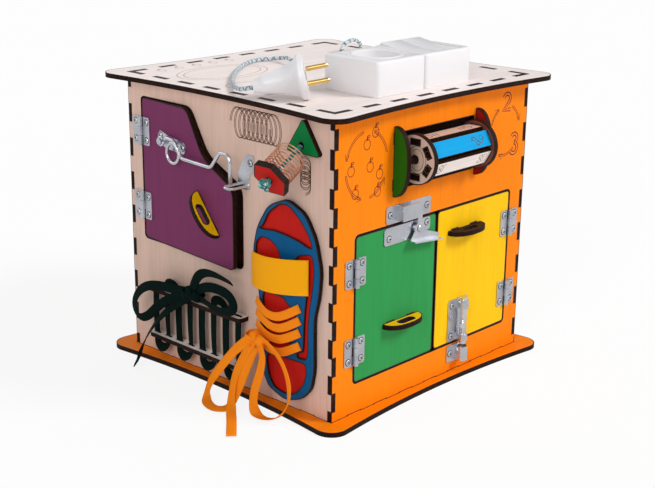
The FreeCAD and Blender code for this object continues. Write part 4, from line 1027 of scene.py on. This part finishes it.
def build_moons():
    """Handles and drum brackets with the blunt ends that the photograph shows."""
    upright, level = (upward(front), -rightward(front)), (rightward(front), upward(front))
    for node, body, face, corner, (along, across) in (
            ("green_handle", "green_door", front, (-42, 66.5), level),
            ("yellow_handle", "yellow_door", front, (40.5, 129.5), level),
            ("purple_handle", "purple_door", purple, (-13, 148.5), handle_ways()),
            ("drum_bracket_left", "root", front, (-54, DRUM_V), upright),
            ("drum_bracket_right", "root", front, (52, DRUM_V), upright)):
        bracket = node.startswith("drum")
        rim, tabs = blunt_moon(58, 15, 38) if bracket else blunt_moon(45, 13.5, 26)
        holes = [] if bracket else [stadium(18.5, 5.8, 6.6)]
        origin, out, solid, slot_name = face(*corner), outward(face), nodes[node].data, slot_of(node)

        def place(x, y, z, origin=origin, along=along, across=across, out=out):
            return origin + (along * x + out * y + across * z) * MM

        levels = [(point.co - origin).dot(across) / MM for point in solid.vertices]
        low, high = min(levels), max(levels) + (0.06 if bracket else 0)
        moon = cut_plate(node + "_plate", rim + tabs, holes, place, low, high, solid.materials[0])
        settle(moon, slot_name, body, node)
        charred_plate(node + "_char", rim, holes, place, high, 0.9, body, slot_name)


def build_char():
    """Dark outlines of the flat pieces, on the side that faces out."""
    drum_end = -rightward(front)
    # Round the doors, on the doors and on the front and left panels, the strips paint the shade in the gaps
    # between door and panel as well as the laser char.
    rows = [("front_panel", outward(front), 0.7, "root"), ("left_panel", outward(left), 0.5, "root"),
            ("top_plate", Vector(UP), 0.7, "root"), ("base_plate", Vector(UP), 0.8, "root"),
            ("green_door", outward(front), 1.1, "green_door"),
            ("yellow_door", outward(front), 1.1, "yellow_door"),
            ("purple_door", outward(purple), 1, "purple_door"), ("toy_triangle", outward(left), 0.7, "root"),
            ("toy_hexagon", outward(toy), 0.8, "toy_hexagon"),
            ("drum_disc_left", drum_end, 0.9, "drum"), ("drum_disc_right", drum_end, 0.9, "drum")]
    rows += [("drum_slat_%d" % (index + 1), slat_way(index), 0.45, "drum") for index in range(6)]
    for node, axis, width, body in rows:
        charred(node + "_char", face_outlines(node, axis), axis, width, body, slot_of(node))


SOLE = [(56, 12), (76, 5.5), (95, 12), (106, 24), (109.5, 42), (109, 64), (109, 86), (114, 105), (116, 127),
        (110, 152), (98, 171), (77, 179.5), (56, 170), (43, 149), (38, 128), (44, 100), (47, 78),
        (46.5, 55), (47.5, 36), (50, 23)]
TOE = [(46, 149), (50, 151), (57, 164), (70, 173.5), (80, 174), (92, 165), (101, 155), (106, 145),
       (103, 144), (91, 147.5), (77, 149.5), (62, 150.5), (52, 149)]
UNDER_STRAP = [(42.5, 136), (48, 141.5), (58, 141.5), (67, 136), (71.5, 125), (71, 112), (46, 112),
               (41.5, 126)]
UNDER_LACE = [(50, 96.5), (74, 95.5), (79, 90), (88, 88.5), (87, 80), (81.5, 74), (86, 68), (82, 61.5),
              (80, 50), (66, 47.5), (53, 46), (51, 60), (50.5, 76)]
SIDE = [(86, 129), (92, 135.5), (106, 138.5), (108, 126), (106, 108), (103, 93), (101.5, 77), (101.5, 49),
        (90, 47.5), (90, 51.5), (97, 54), (97.5, 77), (99, 93), (101, 107), (102, 121), (101, 131), (94, 130)]
HEEL = [(54, 36), (56, 42), (80, 43.5), (99, 44.5), (100, 37), (97, 26), (88, 15.5), (75, 11.5), (63, 14),
        (57, 22)]


def build_shoe():
    """Blue sole with windows that show the red sheet below it."""
    outer = closed_line(SOLE)
    holes = [closed_line(route) for route in (TOE, UNDER_STRAP, UNDER_LACE, SIDE, HEEL)]
    inset = [((x - 76) * 0.96 + 76, (y - 92) * 0.98 + 92) for x, y in outer]
    sole = cut_plate("shoe_top", outer, holes, left, 1, PLY, nodes["shoe_sole"].data.materials[0])
    settle(sole, "plywood_blue", "root", "shoe_sole")
    charred_plate("shoe_char", outer, holes, left, PLY, 1.1, "root", "plywood_blue")
    lining = cut_plate("shoe_lining", inset, [], left, 0, 2.6, nodes["shoe_inlays"].data.materials[0])
    settle(lining, "plywood_red", "root", "shoe_inlays")


# Laces: each strand of a bow has its length in metres, its twist in degrees and its route

SHOE_BOW = {
    "left_loop": (0.1660, (0, 25), [(49, 58, 14), (37, 48, 19), (24, 30, 25), (13, 12, 31), (12, -0.6, 35),
                                    (22, -2.3, 43), (36, -2.3, 46), (44, -1.5, 37), (45, 12, 29),
                                    (48, 32, 22), (52, 50, 16)]),
    "tail": (0.1095, (10, 0), [(50, 54, 15), (43, 40, 21), (39, 22, 27), (42, 6, 33.5), (50, -2, 41),
                               (64, -2.4, 53), (82, -2.4, 70)]),
    "right_loop": (0.1717, (0, -25), [(54, 56, 15), (66, 49, 19), (65, 32, 22), (61, 14, 26), (64, 0, 29),
                                      (77, -2.2, 31), (91, 1, 27), (99, 14, 23), (97, 32, 20), (86, 48, 18),
                                      (70, 57, 16.5), (59, 59, 15)]),
}
LACING_BOW = {
    "left_loop": (0.1776, (0, 25), [(-26, 78, 16.5), (-44, 76, 19), (-64, 76, 20.5), (-83, 71, 21),
                                    (-97, 60, 20.5), (-103, 46, 20), (-96, 36, 19), (-84, 41, 18),
                                    (-70, 55, 17.5), (-50, 68, 17), (-30, 75, 16)]),
    "left_tail": (0.1133, (10, 70), [(-28, 74, 15.5), (-46, 62, 17), (-64, 48, 18), (-80, 30, 19),
                                     (-90, 12, 21.5), (-91, -0.5, 26), (-84, -2.4, 36)]),
    "right_loop": (0.1150, (0, -25), [(-24, 78, 16.5), (-10, 87, 18.5), (7, 91.5, 19.5), (26.1, 89.5, 19.5),
                                      (32.1, 79, 19), (20, 71, 17.5), (0, 71, 16.5), (-18, 75.5, 16)]),
    "right_tail": (0.0650, (0, 40), [(-24, 80, 17.5), (-16, 94, 20), (-4, 103, 21), (14, 104, 21),
                                     (30, 101, 21)]),
}
WRAPS = ((10, 0, 0), (75, 30, 0), (-50, -25, 0), (80, 10, -6), (60, -20, 6.5))


def wrapped_lace(name, ring, centre, material):
    """A turn of lace about a knot, its flat side towards the knot's centre."""
    pairs = []
    for point, way in zip(ring, headings(ring)):
        across = way.cross((point - centre).normalized()).normalized()
        pairs.append((across, way.cross(across)))
    return sweep(name, ring, lace_outline(8, 1.4), pairs, material, 16)


def build_bow(node, strands, knot_place, material, slot_name):
    wraps = []
    for turn_a, turn_b, shift in WRAPS:
        spin = (Matrix.Rotation(math.radians(turn_b), 3, "X") @ Matrix.Rotation(math.radians(turn_a), 3, "Z")
                @ Matrix.Rotation(math.radians(90), 3, "Y"))
        centre = Vector(knot_place) + Vector((shift, -abs(shift) * 0.2, 0))
        ring = [left(*(centre + spin @ Vector((*flat, 0)))) for flat in arc((0, 0), (5.6, 4.2), 0, 360, 36)]
        wraps.append(wrapped_lace("wrap", ring, left(*centre), material))
    knot = settle(joined(node + "_knot", wraps), slot_name)
    for index, (name, (length, twist, route)) in enumerate(strands.items()):
        points = smooth_line([left(*place) for place in route])
        strand = ribbon("%s_%s" % (node, name), points, outward(left), material, twist)
        settle(strand, slot_name, "root", node)
        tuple(points[0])


BAND_STATIONS = (42.8, 56, 68, 81, 93.2)
BANDS = [((86.5, 81, 79, 83, 91.5), 5.6), ((76, 72, 69, 72.5, 81), 4.6),
         ((66, 62.5, 60, 62.5, 70.5), 5.6), ((55, 51, 48.5, 51, 59), 4.6)]
BAND_END = 4.7


def build_shoe_lace():
    """Bands of lace that sag over the tongue, bowed out between their holes."""
    bands = []
    for heights, rise in BANDS:
        reaches = (0, rise, rise, rise, 0)
        route = [left(u, v, BAND_END + reach) for u, v, reach in zip(BAND_STATIONS, heights, reaches)]
        bands.append(ribbon("band", smooth_line(route), outward(left), ORANGE_LACE, width=7.4))
    settle(joined("shoe_lace_bands", bands), "orange_lace", "root", "shoe_lace")


def build_lacing():
    """One flat lace up and down through the slots of both rails."""
    points = []
    first_u, pitch, runs = -87, 15.5, 8
    middle_w = 5.5
    for index in range(runs):
        u = first_u + pitch * index
        start, end, bend = (67, 17, -1) if index % 2 == 0 else (17, 67, 1)
        for share in [step / 12 for step in range(13)]:
            points.append(left(u, start + (end - start) * share, middle_w + math.sin(share * math.pi) * 0.8))
        if index < runs - 1:
            for angle in [math.pi * step / 14 for step in range(1, 14)]:
                points.append(left(u + pitch / 2 * (1 - math.cos(angle)), end + bend * 7.5 * math.sin(angle),
                                   middle_w + 1.6 * math.sin(angle)))
    lace = ribbon("threaded_lace", points, outward(left), GREEN_LACE, width=8.2)
    settle(lace, "green_lace", "root", "lacing_cord")


def build_strap():
    """Yellow strap over the shoe: an arched band that leans a little."""
    shares = [step / 40 for step in range(41)]
    points = [left(38.9 + 64.3 * share, 112.6 + 6.8 * share, 4.9 + 8.6 * (1 - (2 * share - 1) ** 2))
              for share in shares]
    side = upward(left)
    pairs = [(side, way.cross(side)) for way in headings(points)]
    outline = [(math.copysign(abs(x) ** 0.25, x) * 15 * MM, y * 0.8 * MM)
               for x, y in arc((0, 0), (1, 1), 0, 360, 24)[:-1]]
    settle(sweep("strap_band", points, outline, pairs, STRAP_WEAVE, 60), "strap", "root", "shoe_strap")


# Engraved lines, and dark lines of painted shade beside the hinge knuckles


def stroke(points, width, place, lift):
    """Flat line through points of a face, as vertices and faces of a thin ribbon."""
    flat = [Vector(point) for point in points]
    vertices = []
    for point, way in zip(flat, headings(flat)):
        side = Vector((-way.y, way.x)) * width / 2
        vertices += [place(*(point + edge), level) for level in (lift, lift - 0.05) for edge in (side, -side)]
    last = (len(flat) - 1) * 4
    faces = [tuple(low + corner for corner in corners) for low in range(0, last, 4)
             for corners in ((0, 1, 5, 4), (2, 6, 7, 3), (0, 4, 6, 2), (1, 3, 7, 5))]
    return vertices, faces + [(0, 2, 3, 1), (last, last + 1, last + 3, last + 2)]


def engraving(name, strokes, place, body, slot_name, material=INK, lift=ENGRAVED_AT):
    vertices = []
    faces = []
    for points, width in strokes:
        more, around = stroke(points, width, place, lift)
        faces += [tuple(corner + len(vertices) for corner in face) for face in around]
        vertices += more
    settle(mesh_object(name, vertices, faces, material, smooth=False), slot_name, body)


def ring_strokes(centres, radii, steps, width):
    return [(arc(centre, radii, 0, 360, steps), width) for centre in centres]


def coil_strokes(start, pitch, turns, radii, sideways):
    """Two parallel lines of a drawn coil."""
    strokes = []
    steps = 20 * turns
    for offset in (0, 1.5):
        points = []
        for step in range(steps + 1):
            angle = math.tau * turns * step / steps
            run = pitch * turns * step / steps + radii[0] * (1 - math.cos(angle)) + offset
            rise = radii[1] * math.sin(angle)
            along, across = (run, rise) if sideways else (rise, run)
            points.append((start[0] + along, start[1] + across))
        strokes.append((points, 0.6))
    return strokes


def fruit_strokes(u, v, radius=4.2):
    """A small round fruit with its stalk and leaf."""
    return (ring_strokes([(u, v)], (radius * 0.9, radius), 18, 0.7)
            + [([(u, v + radius * 0.7), (u + 0.5, v + radius * 1.6)], 1.3)]
            + ring_strokes([(u + 1.7, v + radius * 1.5)], (1.6, 0.9), 10, 0.6))


def outlined(points, name):
    """A figure drawn as a hollow line: a broad burnt stroke with stain along its middle."""
    engraving(name, [(points, 3.9)], front, "root", "plywood_orange", RED_INK)
    engraving(name + "_middle", [(points, 1.5)], front, "root", "plywood_orange", ORANGE_FILL,
              ENGRAVED_AT + 0.05)


def arrow(centre, radii, start, end, width=0.6, head=5.5):
    """Curved arrow with a narrow loop for its shaft and an open head."""
    curve = arc(centre, radii, start, end)
    inner = arc(centre, (radii[0] - 1.5, radii[1] - 1.5), end, start)
    tip, previous = curve[-1], curve[-3]
    way = math.atan2(tip[1] - previous[1], tip[0] - previous[0])
    barbs = [(tip[0] + head * math.cos(turn), tip[1] + head * math.sin(turn))
             for turn in [way + math.pi + side * math.radians(28) for side in (-1, 1)]]
    return [(curve + inner + curve[:1], width), ([barbs[0], tip, barbs[1]], width)]


def build_engravings():
    strokes = []
    for u, v in ((-78.3, 233), (-88, 224.5), (-106, 206), (-84, 206), (-72.6, 198.5), (-74.6, 184.5),
                 (-101, 187)):
        strokes += fruit_strokes(u, v)
    for start, end in ((100, 165), (190, 255), (15, 70), (280, 330)):
        strokes += arrow((-88, 208), (25, 28), start, end)
    for v, start, end in ((210, 165, 120), (210, 62, 12), (206, -50, -110)):
        strokes += arrow((93, v), (21, 21), start, end)
    engraving("front_engraving", strokes, front, "root", "plywood_orange", RED_INK)
    outlined(arc((94, 236), (4.6, 4.4), 160, -35, 12) + [(89, 226), (99.6, 226)], "figure_two")
    outlined(arc((107.5, 198.8), (4.4, 4), 150, -80, 12) + arc((107.3, 190), (5, 4.8), 85, -150),
             "figure_three")

    coils = coil_strokes((8, 231), 5.1, 9, (7.4, 12.6), True)
    coils += coil_strokes((94.5, 185), 4.1, 5, (5.6, 5.6), False)
    engraving("left_engraving", coils, left, "root", "plywood")

    faint = ring_strokes([(-66, 66)], (46, 30), 48, 0.8) + ring_strokes([(-66, 66)], (40, 24), 48, 0.8)
    for index in range(5):
        faint += fruit_strokes(-100 + 20 * index, 108)
    faint.append((arc((-95, 10), (16, 10), 20, 330, 20), 0.8))
    faint += ring_strokes([(60, 20)], (26, 12), 30, 0.8)
    engraving("top_engraving", faint, top, "root", "plywood", PALE_INK)


def build_drum_marks():
    """Plain rings and bars near the ends of the drum's slats, and arcs on its left disc."""
    waves = ring_strokes([(17, 2), (21.5, -2.2), (27, 1.6)], (2.6, 1.8), 12, 0.5)
    waves.append(([(14 + step, 3.2 * math.sin(step / 2.4)) for step in range(18)], 0.5))
    rings = ring_strokes([(-26, 0), (26, 0)], (3.6, 3.6), 16, 0.8)
    rings += [([(x, -3.5), (x + 3, 3.5)], 0.8) for x in (-20, -16, 14, 18)]
    pairs = ring_strokes([(x, y) for x in (-27, 26) for y in (2.4, -2.4)], (2.2, 2), 12, 0.5)
    pairs += [([(x + 4, -4), (x + 4, 4), (x + 6.4, 4)], 0.5) for x in (-27, 26)]
    for index, marks in enumerate((waves, rings, pairs) * 2):
        out = slat_way(index)
        along = out.cross(Vector(ALONG_X))

        def on_slat(x, y, z, out=out, along=along):
            return front(4.5 + x, DRUM_V, DRUM_W) + (along * y + out * (16.5 + z)) * MM

        node = "drum_slat_%d" % (index + 1)
        engraving("slat_marks_%d" % (index + 1), marks, on_slat, "drum", slot_of(node))

    def on_disc(x, y, z):
        return front(-37 - z, DRUM_V + y, DRUM_W + x)

    arcs = [(arc((2, 0), (6.5 + 2.6 * ring, 9 + 2.4 * ring), -140, 140, 24), 0.5) for ring in range(2)]
    arcs += [(arc((13, side * 6), (3, 3), 0, 300), 0.5) for side in (-1, 1)]
    engraving("disc_marks", arcs, on_disc, "drum", slot_of("drum_disc_left"))


def build_knuckle_lines():
    """Painted shade: dark lines on both sides of each hinge's knuckle, where the leaves roll up."""
    for place, axis_u, door_side, colour in ((front, -99.5, 1, "green"), (front, 105, -1, "yellow"),
                                             (left, -107, 1, "purple")):
        lines = {"root": [], colour + "_door": []}
        for group in loose_pieces("hinge_pins"):
            middle = sum(group, Vector()) / len(group) - place(axis_u, 0)
            if abs(middle.dot(rightward(place))) > 4 * MM or abs(middle.dot(outward(place))) > 8 * MM:
                continue
            heights = [point.z / MM - PLY for point in group]
            for side in (-1, 1):
                edge = axis_u + side * 2.7
                holder = colour + "_door" if side == door_side else "root"
                lines[holder].append(([(edge, min(heights)), (edge, max(heights))], 0.7))
        # The engraving helper lays these painted shade lines as flat dark strips on the zinc.
        for holder, strokes in lines.items():
            if strokes:
                engraving("%s_hinge_leaves_lines_%s" % (colour, holder), strokes, place, holder, "zinc",
                          PAINTED_SHADE, 1.12)


# Cabin hook in round wire

HOOK_ROUTE = [(-68.5, 202.7), (-63, 206), (-53, 205), (-42, 191.8), (-1, 191.8), (11, 206.5), (24.8, 207),
              (24.8, 183.2)]
HOOK_BENDS = [3.5, 6, 7, 8, 6, 6.5]
HOOK_W = 5
HOOK_WIRE = 1.7


def bent_wire(route, radii, place, steps=10):
    """Points along straight runs joined by arcs of the wire's bends."""
    corners = [Vector(point) for point in route]
    points = [corners[0]]
    for before, corner, after, radius in zip(corners, corners[1:], corners[2:], radii):
        back = (before - corner).normalized()
        onward = (after - corner).normalized()
        half = back.angle(onward) / 2
        reach = radius / math.tan(half)
        centre = corner + (back + onward).normalized() * (radius / math.sin(half))
        start = corner + back * reach - centre
        end = corner + onward * reach - centre
        for step in range(steps + 1):
            points.append(centre + start.slerp(end, step / steps).normalized() * radius)
    points.append(corners[-1])
    return [place(*point) for point in points]


def build_hook():
    """Hook, its eye and its finger ring."""
    route = [(u, v, HOOK_W) for u, v in HOOK_ROUTE]
    pieces = [tube("hook_arm", bent_wire(route, HOOK_BENDS, purple), HOOK_WIRE * MM, SCREW_ZINC, 16),
              turned("hook_tip", [(0, HOOK_WIRE), (0.4, 1.5), (0.7, 0.8)], purple(*route[-1]),
                     -upward(purple), SCREW_ZINC, 16)]
    for centre, radius, wire in (((-71.5, 201.7), 3.3, 1.5), ((-54.5, 194), 8.6, 1.45)):
        circle = [purple(u, v, HOOK_W) for u, v in arc(centre, (radius, radius), 0, 360, 48)]
        pieces.append(tube("ring", circle, wire * MM, SCREW_ZINC))
    settle(joined("cabin_hook", pieces), "zinc", "hook", "hook_rod")


place_camera()
build_stage()
dress_solids()
build_plug()
build_screws()
build_mouldings()
build_toy()
build_bow("shoe_bow", SHOE_BOW, (52, 58, 13), ORANGE_LACE, "orange_lace")
build_bow("lacing_bow", LACING_BOW, (-26, 77, 15), GREEN_LACE, "green_lace")
build_shoe()
build_shoe_lace()
build_lacing()
build_strap()
build_hook()
build_engravings()
build_drum_marks()
build_moons()
build_char()
build_knuckle_lines()
